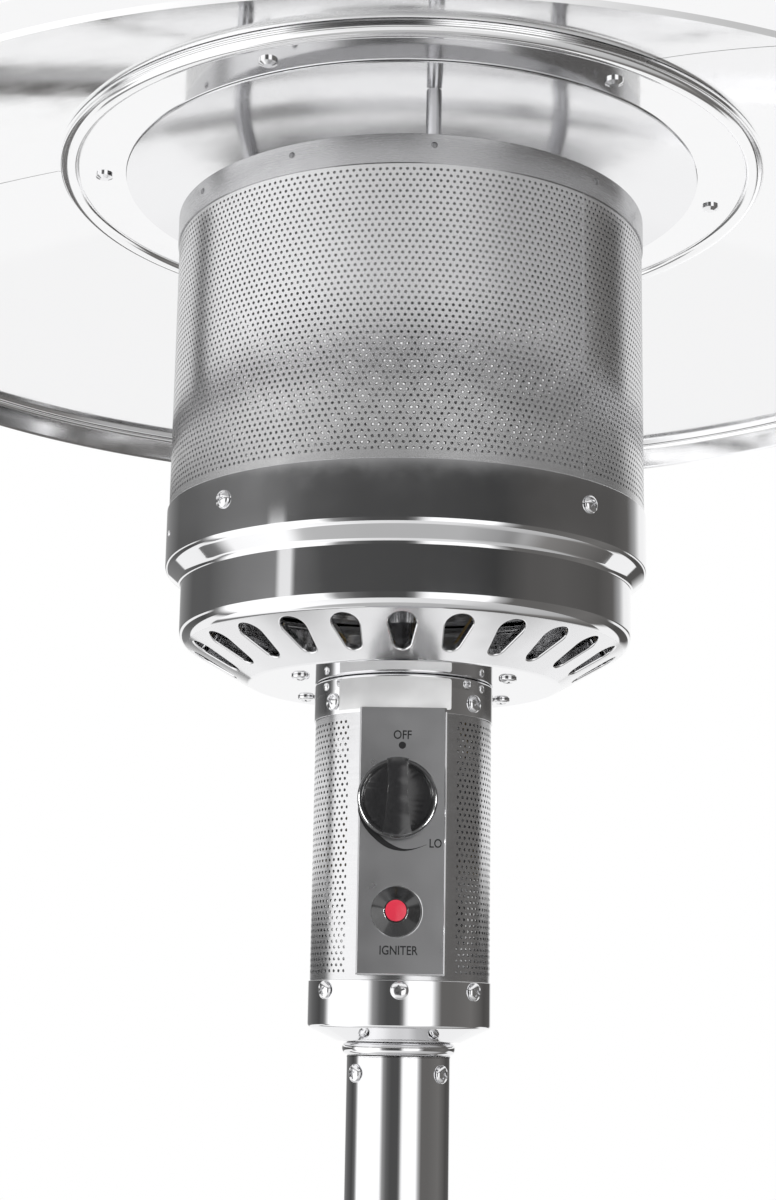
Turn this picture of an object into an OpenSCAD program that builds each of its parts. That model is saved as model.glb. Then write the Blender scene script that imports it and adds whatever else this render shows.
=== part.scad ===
// A stand-up gas patio heater: a round base on two wheels, a sleeve that hides the gas bottle,
// a two-piece post, a control head, a perforated emitter and a three-panel reflector.
// The axis of the post is Z, the floor is z = 0 and the control panel faces -Y.
// Angles round the axis are counted from the front (-Y) towards +X.

/* [Base] */
// Width of the ledge that the base leaves round the tank cover
base_ledge = 40; // [34:1:60]
// Height of the pressed base
base_h = 40; // [34:1:46]
// Sheet thickness of the base
base_t = 2; // [1.5:0.1:3]
// Height of the upright rim of the base
base_rim_h = 22; // [16:1:26]
// Width of the sloping shoulder of the base
base_shoulder = 18; // [10:1:24]
// Gap between the ballast disc and the foot of the base's shoulder
weight_gap = 17; // [8:1:30]
// Gap between the ballast disc and the floor
weight_lift = 5; // [4:1:10]

/* [Wheels] */
// Radius of each wheel
wheel_r = 75; // [60:1:80]
// Width of each wheel
wheel_w = 30; // [24:1:36]
// Thickness of the rubber tyre
tyre_t = 11; // [8:1:16]
// Gap between the wheels and the floor while the heater stands
wheel_lift = 4; // [3:1:8]
// Radius of the wheel axle
axle_r = 5; // [4:0.5:6]
// Half of the distance between the two ears of the wheel bracket
ear_x = 60; // [50:1:70]
// Thickness of the bracket sheet
ear_t = 3; // [2:0.5:4]

/* [Tank cover] */
// Radius of the sleeve round the gas bottle
cover_r = 200; // [196:1:206]
// Height of the sleeve
cover_h = 730; // [700:1:760]
// Sheet thickness of the sleeve
cover_t = 1.2; // [0.8:0.1:2]
// Height of the sloping lid of the sleeve
lid_rise = 41; // [30:1:60]
// Height of the lid's collar on the post
lid_collar_h = 30; // [20:1:40]
// Vent slots in one row of the sleeve
slot_count = 16; // [8:1:20]
// Height of a vent slot
slot_h = 60; // [30:1:80]
// Width of a vent slot
slot_w = 9; // [6:1:14]

/* [Post] */
// Outer radius of the post
post_r = 31.75; // [28:0.25:34]
// Wall of the post
post_t = 1.5; // [1.2:0.1:2.5]
// Height at which the two post tubes meet
post_joint_z = 1190; // [1100:5:1300]
// Half length of the sleeve inside that joint
sleeve_half = 70; // [50:1:90]
// Width of the three straps that carry the post over the gas bottle
strap_w = 32; // [24:1:40]
// Thickness of those straps
strap_t = 3; // [2.5:0.5:5]

/* [Control head] */
// Height of the lower edge of the control head above the floor
head_z = 1625; // [1500:1:1750]
// Outer radius of the two collars
collar_r = 56.4; // [56:0.1:60]
// Sheet thickness of the control head
sheet_t = 0.9; // [0.7:0.1:1]
// Height of the lower collar
lower_collar_h = 28.2; // [24:0.1:32]
// Bare height of the perforated guard between the collars
guard_h = 160.3; // [158:0.1:180]
// Height of the upper collar
upper_collar_h = 23.5; // [22:0.1:30]
// Radius of the rolled bead where the head meets the post
bead_r = 34.8; // [34:0.1:38]
// Width of the control panel
panel_w = 52.4; // [50:0.1:56]
// Distance of the panel's face from the axis
panel_y = 58; // [57.6:0.1:62]
// Height of the knob's axis above the head's lower edge
knob_z = 134.5; // [130:0.5:138]
// Radius of the knob
knob_r = 24; // [20:0.5:26]
// Depth of the knob with its grip
knob_h = 18; // [16:0.5:22]
// Height of the igniter above the head's lower edge
igniter_z = 68; // [62:0.5:70]
// Radius of the igniter's bezel
bezel_r = 14.8; // [13:0.1:16]
// Radius of the igniter's button
button_r = 6.2; // [5:0.1:7]
// Sideways place of the knob and the igniter
control_x = -2.8; // [-3:0.1:0]

/* [Burner bowl] */
// Radius of the lower band of the bowl
lower_band_r = 143.4; // [140:0.1:146]
// Height of the bowl's conical underside
cone_rise = 22; // [18:0.5:24]
// Height of the lower band
lower_band_h = 39; // [32:0.5:44]
// Height of the rounded step between the bands
band_step_h = 13.5; // [10:0.5:16]
// Radius of the upper band of the bowl
upper_band_r = 153.6; // [152.9:0.1:156]
// Height of the upper band
upper_band_h = 34; // [28:0.5:40]
// Vents round the underside
vent_count = 24; // [12:1:26]
// Radius on which the wide end of a vent lies
vent_outer_at = 127; // [124:0.5:128]
// Half width of the wide end of a vent
vent_outer_r = 9.2; // [6:0.1:10]
// Radius on which the narrow end of a vent lies
vent_inner_at = 112; // [108:0.5:114]
// Half width of the narrow end of a vent
vent_inner_r = 6.2; // [4:0.1:7]

/* [Emitter] */
// Outer radius of the perforated emitter
emitter_r = 152.4; // [152:0.1:152.6]
// Sheet thickness of the emitter
emitter_t = 0.8; // [0.6:0.1:1]
// Height of the emitter's rim above the head's lower edge
emitter_top = 519.5; // [500:0.5:530]
// Height of the plain band at the top of the emitter
emitter_band_h = 18.4; // [14:0.1:24]
// Radius of a hole in the emitter
hole_r = 5.5; // [3:0.1:6]
// Distance between the holes of one row
hole_pitch = 22; // [18:0.5:30]

/* [Reflector] */
// Outer radius of the reflector
reflector_r = 425.4; // [400:0.1:440]
// Height of the inner disc's edge above the head's lower edge
disc_edge_z = 547; // [544:0.5:556]
// Radius of the inner disc
disc_r = 189; // [180:0.5:192]
// Radius of the sphere that the inner disc is pressed to
disc_sphere_r = 579; // [480:1:700]
// Radius of the reflector plate with its rolled edge
plate_r = 232; // [226:0.5:236]
// Drop of the panels from the plate to their outer bend
panel_drop = 66; // [50:1:90]
// Height of the turned-down rim
rim_h = 14; // [8:0.5:20]
// Radius on which the three studs stand
stud_at = 112; // [100:0.5:120]
// Angle of the first stud
stud_angle = 6.8; // [0:0.1:30]
// Radius of the studs
stud_r = 4.8; // [4:0.1:6]

/* [Hidden] */

// Sides of the round shapes
$fn = 96;
// Overrun of every cut
over = 1;
// Gap of parts that lie loosely against each other
gap = 0.3;
// Gap of sheets that nest inside each other
nest = 0.1;
// Running clearance of a shaft in its bore
run = 0.06;

// Base and wheels
base_r = cover_r + base_ledge;
weight_r = base_r - base_shoulder - weight_gap;
weight_top = base_h - base_t;
bolt_r = 4;
bolt_head_r = 7;
bolt_head_h = 5.3;
bolt_nut_h = 6.5;
nut_room_r = 10;
strap_clear = 10;
strap_r = cover_r - strap_clear;
foot_len = 45;
foot_inner = strap_r - foot_len;
foot_bolt = 25;
foot_at = strap_r - foot_bolt;
wheel_z = wheel_r + wheel_lift;
wheel_reach = 52;
wheel_y = base_r + wheel_reach;
hub_gap = 4;
wheel_x = ear_x + ear_t + hub_gap + wheel_w / 2;
cap_r = 9;
cap_h = 5;
hub_r = 14;
hub_web = 5;
hub_rim = 6;
spoke_count = 6;
spoke_hole_share = 0.3;
tyre_round = 5;
ear_h = 30;
ear_round = 14;
ear_arm = 12;
bracket_span = 40;
bracket_foot = 3;

// Straps and socket
socket_drop = 25;
socket_z = base_h + cover_h - socket_drop;
strap_slope_h = 55;
strap_bend_z = socket_z - strap_slope_h;
socket_h = 60;
socket_wall = 3.6;
socket_flange_r = 62;
socket_flange_t = 3;
socket_bolt_at = 50;
post_inner_r = post_r - post_t;
post_lower_z = socket_z + socket_flange_t;

// Tank cover
cover_z = base_h + gap;
cover_top = cover_z + cover_h;
lid_lip_h = 14;
lid_clear = 1;
lid_t = 1.2;
slot_margin = 28;
lid_screw_count = 6;
lid_overhang = 2;

// Screws
screw_r = 2.2;
screw_head_r = 5.5;
screw_head_h = 3;
screw_len = 6;

// The lid's collar clears the screw heads of the post's joint as the cover is lifted past them
lid_collar_r = post_r + screw_head_h + lid_clear + lid_t;

// Head heights above the head's lower edge
upper_collar_z = lower_collar_h + guard_h;
bowl_z = upper_collar_z + upper_collar_h;
guard_r = collar_r - sheet_t - nest;
guard_lap = 12;
neck_depth = 54;
neck_r = post_inner_r - nest;
bead_z = -11.8;
bead_half = 4;
post_top = -16.5;
neck_up = 6;
neck_screw_z = -26.5;
neck_screw_angle = 54;
collar_hole_r = post_r + nest;
collar_drop = 7.6;
collar_round = 2.5;
collar_flat_r = 38;
lower_screw_z = 22.3;
lower_screw_angle = 52;
upper_screw_lift = 8.1;
upper_screw_z = upper_collar_z + upper_screw_lift;
upper_screw_angle = 50;
window_w = 40;
window_margin = 5;
guard_hole_r = 3.4;
guard_hole_pitch = 12;
guard_plain_angle = 38;
row_share = sin(60);

// Control panel, valve and igniter
panel_t = 1;
panel_foot = 2.8;
panel_z = lower_collar_h + panel_foot;
panel_lap = 2;
panel_top = upper_collar_z + panel_lap;
panel_return = 8.4;
stem_hole_r = 7;
stem_r = 4;
knob_travel = 3;
knob_clear = 0.9;
knob_back = panel_y + knob_travel + knob_clear;
knob_skirt = 7;
knob_round = 2;
knob_rim = 2.6;
knob_dish = 1.6;
grip_w = 11.5;
grip_end_r = 23;
grip_scoop_r = 150;
grip_waist_up = 8;
stem_grip = 12;
stem_tip = knob_back + stem_grip;
valve_recess = 2.5;
valve_front = panel_y - valve_recess;
valve_back = 14;
valve_w = 32;
valve_low = 22;
valve_high = 24;
valve_face = 46;
valve_boss_r = 13;
plug_r = 9;
plug_front = 49.5;
plug_back = 20.5;
plug_bore = 11.5;
plug_bore_end = plug_front - plug_bore;
spare = 0.5;
stem_end = plug_bore_end + knob_travel + spare;
stem_front_r = stem_r + spare;
bracket_y = valve_back;
bracket_t = 2;
bracket_low = 100;
bracket_high = 166;
bracket_leg_x = 14;
bracket_leg_w = 26;
bracket_leg_low = 50;
inlet_y = 30;
inlet_z = 125;
inlet_r = 5;
inlet_out = 12;
inlet_nut_r = 8;
inlet_nut_h = 12;
inlet_drop = 29;
inlet_bore_r = 2.5;
barrel_r = 10.8;
barrel_back = 10;
thread_r = 8.5;
thread_front = 63;
flange_r = 13.5;
flange_t = 2.5;
barrel_bore_end = 38;
terminal_r = 3;
terminal_len = 4;
bezel_front = 67;
bezel_front_r = 9.5;
button_travel = 6;
button_front = 71;
button_back = barrel_bore_end + button_travel + 2 * spare;
switch_x = 16;
switch_w = 22;
switch_d = 17;
switch_z = 56;
switch_h = 28;

// Burner
cone_r = 98;
bowl_hole_r = 50;
bowl_round = 10;
cone_lean = 30;
step_share = 0.8;
bowl_low_z = bowl_z + cone_rise;
step_z = bowl_low_z + lower_band_h;
band_z = step_z + band_step_h;
bowl_top = band_z + upper_band_h;
vent_turn = -0.7;
floor_t = 1;
floor_z = band_z;
floor_top = floor_z + floor_t;
floor_r = upper_band_r - sheet_t - 2 * nest;
mixer_r = 16;
mixer_throat_r = 12;
mixer_mouth_r = 22;
mixer_t = 1.2;
mixer_lift = 10;
mixer_z = bowl_z + mixer_lift;
mixer_plate_t = 1.5;
mixer_air_r = 4.5;
mixer_air_at = 14;
mixer_lip = 4;
mixer_top = floor_top + mixer_lip;
injector_r = 6;
injector_len = 17;
injector_z = mixer_z - injector_len;
nozzle_r = 2.5;
nozzle_len = 6;
tube_r = 4;
bend_swell = 0.2;
wire_sides = 10;
main_tube_x = control_x;
head_burner_r = 60;
head_burner_h = 42;
head_burner_t = 1.5;
port_count = 24;
port_r = 2.5;
port_z = 22;
bowl_screw_lift = 19;
bowl_screw_z = band_z + bowl_screw_lift;
bowl_screw_angle = 45;
foot_screw_at = 76;
foot_screw_angles = [-123, -57, 57, 123];
pilot_at = [52, -56];
pilot_r = 2;
pilot_hood_r = 5;
pilot_h = 30;
electrode_at = [38, -66];
lead_r = 1.8;
ceramic_r = 3.5;
ceramic_h = 24;
tip_r = 0.8;
tip_h = 13;
couple_at = [64, -42];
couple_r = 3;
couple_h = 40;
couple_wire_r = 1.5;

// Emitter
screen_z = floor_top + nest;
screen_drop = 6;
screen_top = emitter_top - screen_drop;
screen_strip = 3;
screen_plain = bowl_top + screen_strip;
band_r = emitter_r + nest + emitter_t;
cap_drop = 5.5;
cap_z = emitter_top - cap_drop;
cap_t = 1;
cap_flange = 12;

// Reflector
disc_t = 1;
disc_z0 = disc_edge_z - sqrt(disc_sphere_r * disc_sphere_r - disc_r * disc_r);
plate_t = 1;
plate_lift = 0.3;
plate_z = disc_edge_z + disc_t + plate_lift;
plate_hole_r = 90;
plate_bead_r = 9;
plate_bead_drop = 6;
screw_ring_r = 203.6;
screw_ring_angle = 35.6;
panel_sheet_t = 0.8;
panel_inner_r = 196;
panel_flat_r = plate_r + panel_lap;
panel_z0 = plate_z + plate_t + nest;
panel_bend = 4;
panel_curve_share = 0.22;
hem = 4;
seam_gap = 0.4;
flange_h = 9;
panel_edge_r = reflector_r - panel_sheet_t;
stud_screw_r = 3;
stud_below = 8;
stud_above = 18;
stud_nut_r = 6;
stud_nut_h = 5;
wing_r = 6;
wing_h = 6;
wing_span = 15;
wing_t = 2.4;
wing_rise = 5;

// Helpers for outlines
function unit(v) = v / norm(v);
function normal(p, i) = let (d = unit(p[i + 1] - p[i])) [-d[1], d[0]];
function shifted(p, i, t) = i == 0 ? p[0] + t * normal(p, 0)
    : i == len(p) - 1 ? p[i] + t * normal(p, i - 1)
    : let (a = normal(p, i - 1), b = normal(p, i)) p[i] + t * (a + b) / (1 + a * b);
function thick(p, t) = concat(p, [for (i = [len(p) - 1 : -1 : 0]) shifted(p, i, t)]);
function round_at(c, r, a) = c + r * [cos(a), sin(a)];
function arc(c, r, a0, a1, n) = [for (i = [0 : n]) round_at(c, r, a0 + (a1 - a0) * i / n)];
function disc_under(r) = disc_z0 + sqrt(disc_sphere_r * disc_sphere_r - r * r);

// Turns a child from the front to an angle round the axis
module at_angle(a) {
    rotate([0, 0, a])
        children();
}

// A sheet-metal shape turned round the axis from the outline of its outer face
module turned(p, t, angle = 360) {
    rotate_extrude(angle = angle)
        polygon(thick(p, t));
}

module tube(r, t, h) {
    difference() {
        cylinder(r = r, h = h);
        translate([0, 0, -over])
            cylinder(r = r - t, h = h + 2 * over);
    }
}

// Lays a child's +Z axis radially outwards at an angle and a height, on a given radius
module radial(a, r, z) {
    rotate([0, 0, a])
        translate([0, -r, z])
            rotate([90, 0, 0])
                children();
}

// A pan-head screw whose head stands on z = 0 and whose shank points down
module pan_screw(head_r, head_h, shank_r, shank) {
    cylinder(r = head_r, h = head_h / 2);
    translate([0, 0, head_h / 2])
        intersection() {
            cylinder(r1 = head_r, r2 = head_r / 2, h = head_h / 2);
            cylinder(r = head_r, h = head_h / 2);
        }
    translate([0, 0, -shank])
        cylinder(r = shank_r, h = shank);
}

// The rings of a wire: each ring slides along its stretch to the mitre plane of the next bend
function bend_normal(p, i) = i == len(p) - 1 ? unit(p[i] - p[i - 1])
    : unit(unit(p[i] - p[i - 1]) + unit(p[i + 1] - p[i]));
function slid(ring, d, c, n) = [for (q = ring) q + d * (((c - q) * n) / (d * n))];
function wire_rings(p, ring, i = 1) = i == len(p) ? ring
    : concat(ring, wire_rings(p, slid(ring, unit(p[i] - p[i - 1]), p[i], bend_normal(p, i)), i + 1));
function side_of(d) = unit(cross(d, abs(d[0]) < 0.9 ? [1, 0, 0] : [0, 1, 0]));
function first_ring(p, r) = let (d = unit(p[1] - p[0]), a = side_of(d), b = cross(d, a))
    [for (k = [0 : wire_sides - 1]) let (c = 360 * k / wire_sides) p[0] + r * (a * cos(c) + b * sin(c))];

// A thin wire or pipe through a list of points, with mitred bends
module wire(p, r) {
    last = len(p) - 1;
    sides = [for (i = [0 : last - 1], k = [0 : wire_sides - 1])
        let (next = (k + 1) % wire_sides, low = i * wire_sides, high = low + wire_sides)
            each [[low + k, high + k, low + next], [low + next, high + k, high + next]]];
    polyhedron(wire_rings(p, first_ring(p, r)),
        concat([[for (k = [0 : wire_sides - 1]) k]], sides,
            [[for (k = [wire_sides - 1 : -1 : 0]) last * wire_sides + k]]));
}

// A round rod through a list of points, a little swollen at the bends
module rod_path(p, r) {
    for (i = [0 : len(p) - 2]) {
        d = p[i + 1] - p[i];
        translate(p[i])
            rotate([0, acos(d[2] / norm(d)), atan2(d[1], d[0])])
                cylinder(r = r, h = norm(d), $fn = 24);
        if (i > 0)
            translate(p[i])
                sphere(r = r + bend_swell, $fn = 24);
    }
}

// Base and wheels
strap_angles = [-60, 60, 180];
bracket_bolt_angles = [172, 188];

// A hexagon bolt with its washer face on z = 0, pointing down through a grip, with its nut
module bolt_and_nut(grip) {
    cylinder(r = bolt_head_r, h = bolt_head_h, $fn = 6);
    translate([0, 0, -grip - bolt_nut_h - over])
        cylinder(r = bolt_r, h = grip + bolt_nut_h + over);
    translate([0, 0, -grip - bolt_nut_h])
        cylinder(r = bolt_head_r, h = bolt_nut_h, $fn = 6);
}

// The pressed base, with its upright rim, sloping shoulder and bolt holes
module base_plate() {
    outline = [[0, base_h], [base_r - base_shoulder, base_h], [base_r, base_rim_h], [base_r, 0]];
    color("silver")
        difference() {
            turned(outline, -base_t);
            for (a = strap_angles)
                at_angle(a)
                    translate([0, -foot_at, base_h - base_t - over])
                        cylinder(r = bolt_r, h = base_t + 2 * over);
            for (a = bracket_bolt_angles)
                radial(a, base_r - base_t - over, base_rim_h / 2)
                    cylinder(r = bolt_r, h = base_t + 2 * over);
        }
}

module base_weight() {
    color("dimgray")
        difference() {
            translate([0, 0, weight_lift])
                cylinder(r = weight_r, h = weight_top - weight_lift);
            for (a = strap_angles)
                at_angle(a)
                    translate([0, -foot_at, 0])
                        cylinder(r = nut_room_r, h = base_h);
        }
}

module frame_bolts() {
    color("silver") {
        for (a = strap_angles) {
            at_angle(a)
                translate([0, -foot_at, base_h + strap_t])
                    bolt_and_nut(strap_t + base_t);
            at_angle(a)
                translate([0, -socket_bolt_at, socket_z + socket_flange_t])
                    bolt_and_nut(socket_flange_t + strap_t);
        }
        for (a = bracket_bolt_angles)
            radial(a, base_r + ear_t, base_rim_h / 2)
                bolt_and_nut(base_t + ear_t);
    }
}

// The bracket behind the base: a curved strip on the rim with two ears for the axle
module wheel_bracket() {
    ear_y = sqrt(base_r * base_r - ear_x * ear_x) + gap;
    strip_top = base_rim_h - over;
    color("silver")
        difference() {
            union() {
                rotate([0, 0, 90 - bracket_span / 2])
                    rotate_extrude(angle = bracket_span)
                        translate([base_r, bracket_foot])
                            square([ear_t, strip_top - bracket_foot]);
                for (side = [-1, 1])
                    translate([side * (ear_x + ear_t / 2) + ear_t / 2, 0, 0])
                        rotate([90, 0, -90])
                            mirror([1, 0, 0])
                                linear_extrude(ear_t) {
                                    polygon([[ear_y, bracket_foot + over], [ear_y, strip_top - over],
                                        [wheel_y - ear_arm, wheel_z], [wheel_y + ear_arm, wheel_z],
                                        [ear_y + ear_h, bracket_foot + over]]);
                                    translate([wheel_y, wheel_z])
                                        circle(r = ear_round);
                                }
            }
            translate([-ear_x - ear_t - over, wheel_y, wheel_z])
                rotate([0, 90, 0])
                    cylinder(r = axle_r, h = 2 * (ear_x + ear_t + over));
            for (a = bracket_bolt_angles)
                radial(a, base_r - over, base_rim_h / 2)
                    cylinder(r = bolt_r, h = ear_t + 2 * over);
        }
}

cap_x = wheel_x + wheel_w / 2 + gap;

module wheel_axle() {
    color("silver")
        translate([-cap_x - cap_h, wheel_y, wheel_z])
            rotate([0, 90, 0])
                cylinder(r = axle_r, h = 2 * (cap_x + cap_h));
}

module axle_caps() {
    color("black")
        for (side = [-1, 1])
            translate([side * (cap_x + cap_h / 2) - cap_h / 2, wheel_y, wheel_z])
                rotate([0, 90, 0])
                    tube(cap_r, cap_r - axle_r, cap_h);
}

// One wheel body about +Z, its outer face up: hub, web with round openings, and rim
module wheel_hub() {
    rim_r = wheel_r - tyre_t;
    spoke_at = (hub_r + rim_r - hub_rim) / 2;
    color("black")
        difference() {
            union() {
                translate([0, 0, gap - wheel_w / 2 - hub_gap])
                    cylinder(r = hub_r, h = wheel_w + hub_gap - gap);
                translate([0, 0, -hub_web / 2])
                    cylinder(r = rim_r - hub_rim / 2, h = hub_web);
                translate([0, 0, tyre_round / 2 - wheel_w / 2])
                    tube(rim_r, hub_rim, wheel_w - tyre_round);
            }
            translate([0, 0, -wheel_w])
                cylinder(r = axle_r + run, h = 2 * wheel_w);
            for (i = [0 : spoke_count - 1])
                rotate([0, 0, i * 360 / spoke_count])
                    translate([spoke_at, 0, -wheel_w])
                        cylinder(r = spoke_at * spoke_hole_share, h = 2 * wheel_w);
        }
}

module wheel_tyre() {
    side = wheel_w / 2;
    inner = wheel_r - tyre_t;
    color("darkslategray")
        rotate_extrude()
            polygon(concat([[inner, -side], [wheel_r - tyre_round, -side]],
                arc([wheel_r - tyre_round, tyre_round - side], tyre_round, -60, 0, 3),
                arc([wheel_r - tyre_round, side - tyre_round], tyre_round, 0, 60, 3),
                [[wheel_r - tyre_round, side], [inner, side]]));
}

module at_wheel(side) {
    translate([side * wheel_x, wheel_y, wheel_z])
        rotate([0, side * 90, 0])
            children();
}

module wheel_left_hub() {
    at_wheel(-1)
        wheel_hub();
}

module wheel_left_tyre() {
    at_wheel(-1)
        wheel_tyre();
}

module wheel_right_hub() {
    at_wheel(1)
        wheel_hub();
}

module wheel_right_tyre() {
    at_wheel(1)
        wheel_tyre();
}

// One bent strap from the base to the post socket, over the shoulder of the gas bottle
module support_strap(a) {
    outline = [[foot_inner, base_h], [strap_r, base_h], [strap_r, strap_bend_z],
        [socket_flange_r + strap_t, socket_z], [post_r + strap_t, socket_z]];
    color("gray")
        difference() {
            at_angle(a)
                rotate([90, 0, -90])
                    translate([0, 0, -strap_w / 2])
                        linear_extrude(strap_w)
                            polygon(thick(outline, strap_t));
            at_angle(a)
                translate([0, -foot_at, base_h - over])
                    cylinder(r = bolt_r, h = strap_t + 2 * over);
            at_angle(a)
                translate([0, -socket_bolt_at, socket_z - strap_t - over])
                    cylinder(r = bolt_r, h = strap_t + 2 * over);
        }
}

module support_strap_left() {
    support_strap(strap_angles[0]);
}

module support_strap_right() {
    support_strap(strap_angles[1]);
}

module support_strap_rear() {
    support_strap(strap_angles[2]);
}

// The cup that takes the post, on a flange that the straps are bolted to
module post_socket() {
    color("gray")
        difference() {
            union() {
                translate([0, 0, socket_z])
                    cylinder(r = socket_flange_r, h = socket_flange_t);
                translate([0, 0, socket_z])
                    cylinder(r = post_r + nest + socket_wall, h = socket_h);
            }
            translate([0, 0, post_lower_z])
                cylinder(r = post_r + nest, h = socket_h);
            translate([0, 0, socket_z - over])
                cylinder(r = post_inner_r, h = socket_h);
            for (a = strap_angles)
                at_angle(a)
                    translate([0, -socket_bolt_at, socket_z - over])
                        cylinder(r = bolt_r, h = socket_flange_t + 2 * over);
        }
}

// Post
post_top_z = head_z + post_top;
sleeve_screw_z = sleeve_half / 2;
sleeve_screw_angles = [-90, 90];
neck_screw_angles = [-neck_screw_angle, neck_screw_angle, 180];

// The holes of all the screws that go through the wall of the post
module post_screw_holes() {
    for (a = sleeve_screw_angles, z = [-sleeve_screw_z, sleeve_screw_z])
        radial(a, 0, post_joint_z + z)
            cylinder(r = screw_r, h = post_r + over);
    for (a = neck_screw_angles)
        radial(a, 0, head_z + neck_screw_z)
            cylinder(r = screw_r, h = post_r + over);
}

module lower_post() {
    color("silver")
        difference() {
            translate([0, 0, post_lower_z])
                tube(post_r, post_t, post_joint_z - post_lower_z);
            post_screw_holes();
        }
}

module upper_post() {
    color("silver")
        difference() {
            translate([0, 0, post_joint_z])
                tube(post_r, post_t, post_top_z - post_joint_z);
            post_screw_holes();
        }
}

module post_sleeve() {
    color("gray")
        difference() {
            translate([0, 0, post_joint_z - sleeve_half])
                tube(neck_r, post_t, 2 * sleeve_half);
            post_screw_holes();
        }
}

module post_screws() {
    color("silver") {
        for (a = sleeve_screw_angles, z = [-sleeve_screw_z, sleeve_screw_z])
            radial(a, post_r, post_joint_z + z)
                pan_screw(screw_head_r, screw_head_h, screw_r, screw_len);
        for (a = neck_screw_angles)
            radial(a, post_r, head_z + neck_screw_z)
                pan_screw(screw_head_r, screw_head_h, screw_r, screw_len);
    }
}

// Tank cover
rib_out = 2.4;
rib_h = 9;
rib_at = 110;
rib_places = [rib_at, cover_h - rib_at - 2 * rib_h];
lid_edge_z = cover_top + 2 * lid_t;
lid_screw_z = cover_top - lid_lip_h / 2;

function rib(z) = [[cover_r, z], [cover_r + rib_out, z + rib_h / 3], [cover_r + rib_out, z + 2 * rib_h / 3],
    [cover_r, z + rib_h]];

// The sleeve round the gas bottle, with two rolled ribs and two rows of vent slots
module tank_housing() {
    outline = concat([[cover_r, cover_z]], rib(cover_z + rib_places[0]), rib(cover_z + rib_places[1]),
        [[cover_r, cover_top]]);
    color("silver")
        difference() {
            turned(outline, cover_t);
            for (i = [0 : slot_count - 1], z = [cover_z + slot_margin, cover_top - slot_margin - slot_h])
                radial((i + 0.5) * 360 / slot_count, cover_r - cover_t - over, z)
                    linear_extrude(cover_t + 2 * over) {
                        translate([-slot_w / 2, slot_w / 2])
                            square([slot_w, slot_h - slot_w]);
                        for (y = [slot_w / 2, slot_h - slot_w / 2])
                            translate([0, y])
                                circle(r = slot_w / 2);
                    }
            for (i = [0 : lid_screw_count - 1])
                radial(i * 360 / lid_screw_count, cover_r - cover_t - over, lid_screw_z)
                    cylinder(r = screw_r, h = cover_t + 2 * over);
        }
}

// The sloping lid with the collar that slides on the post
module tank_lid() {
    lid_r = cover_r + lid_overhang;
    outline = [[lid_r, cover_top - lid_lip_h], [lid_r, lid_edge_z], [lid_collar_r, lid_edge_z + lid_rise],
        [lid_collar_r, lid_edge_z + lid_rise + lid_collar_h]];
    color("silver")
        difference() {
            turned(outline, lid_t);
            for (i = [0 : lid_screw_count - 1])
                radial(i * 360 / lid_screw_count, cover_r - over, lid_screw_z)
                    cylinder(r = screw_r, h = lid_overhang + 2 * over);
        }
}

module lid_screws() {
    color("silver")
        for (i = [0 : lid_screw_count - 1])
            radial(i * 360 / lid_screw_count, cover_r + lid_overhang, lid_screw_z)
                pan_screw(screw_head_r, screw_head_h, screw_r, screw_len);
}

// Control head
lower_screw_angles = [-lower_screw_angle, 0, lower_screw_angle, 180];
upper_screw_angles = [-upper_screw_angle, upper_screw_angle, 180];

// The screw holes of the collars and the guard, at all their places
module collar_screw_holes() {
    for (a = lower_screw_angles)
        radial(a, guard_r - sheet_t - over, head_z + lower_screw_z)
            cylinder(r = screw_r, h = 2 * sheet_t + 2 * over);
    for (a = upper_screw_angles)
        radial(a, guard_r - sheet_t - over, head_z + upper_screw_z)
            cylinder(r = screw_r, h = 2 * sheet_t + 2 * over);
}

// The neck that plugs the head into the post, with the rolled bead that shows
module head_neck() {
    bead = arc([bead_r - bead_half, head_z + bead_z], bead_half, -80, 80, 8);
    outline = concat([[neck_r, post_top_z - neck_depth], [neck_r, bead[0][1]]], bead,
        [[post_r, head_z - collar_drop], [post_r, head_z + neck_up]]);
    color("silver")
        difference() {
            turned(outline, sheet_t);
            post_screw_holes();
        }
}

module lower_collar() {
    corner = arc([collar_r - collar_round, head_z + collar_round], collar_round, -70, 0, 4);
    outline = concat([[collar_hole_r, head_z - collar_drop], [collar_flat_r, head_z - collar_drop]], corner,
        [[collar_r, head_z + lower_collar_h]]);
    color("silver")
        difference() {
            turned(outline, sheet_t);
            collar_screw_holes();
        }
}

// Round holes in staggered rows through a sheet cylinder, between two angles and two heights
module perforation(r, t, pitch, hole, low, high, from_angle, to_angle) {
    rows = floor((high - low) / (pitch * row_share));
    step = pitch / r * 180 / PI;
    columns = floor((to_angle - from_angle) / step);
    even_step = (to_angle - from_angle) / columns;
    for (j = [0 : rows], i = [0 : columns - 1])
        radial(from_angle + (i + (j % 2) / 2) * even_step, r - t - over, low + j * (high - low) / rows)
            cylinder(r = hole, h = t + 2 * over, $fn = 24);
}

// The perforated guard of the control housing, open behind the panel
module control_guard() {
    low = head_z + lower_collar_h;
    high = head_z + upper_collar_z;
    color("gainsboro")
        difference() {
            translate([0, 0, low - guard_lap])
                tube(guard_r, sheet_t, guard_h + 2 * guard_lap);
            translate([-window_w / 2, -2 * guard_r, head_z + panel_z + window_margin])
                cube([window_w, 2 * guard_r, panel_top - panel_z - 2 * window_margin]);
            perforation(guard_r, sheet_t, guard_hole_pitch, guard_hole_r, low + window_margin,
                high - window_margin, guard_plain_angle, 360 - guard_plain_angle);
            collar_screw_holes();
        }
}

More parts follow.
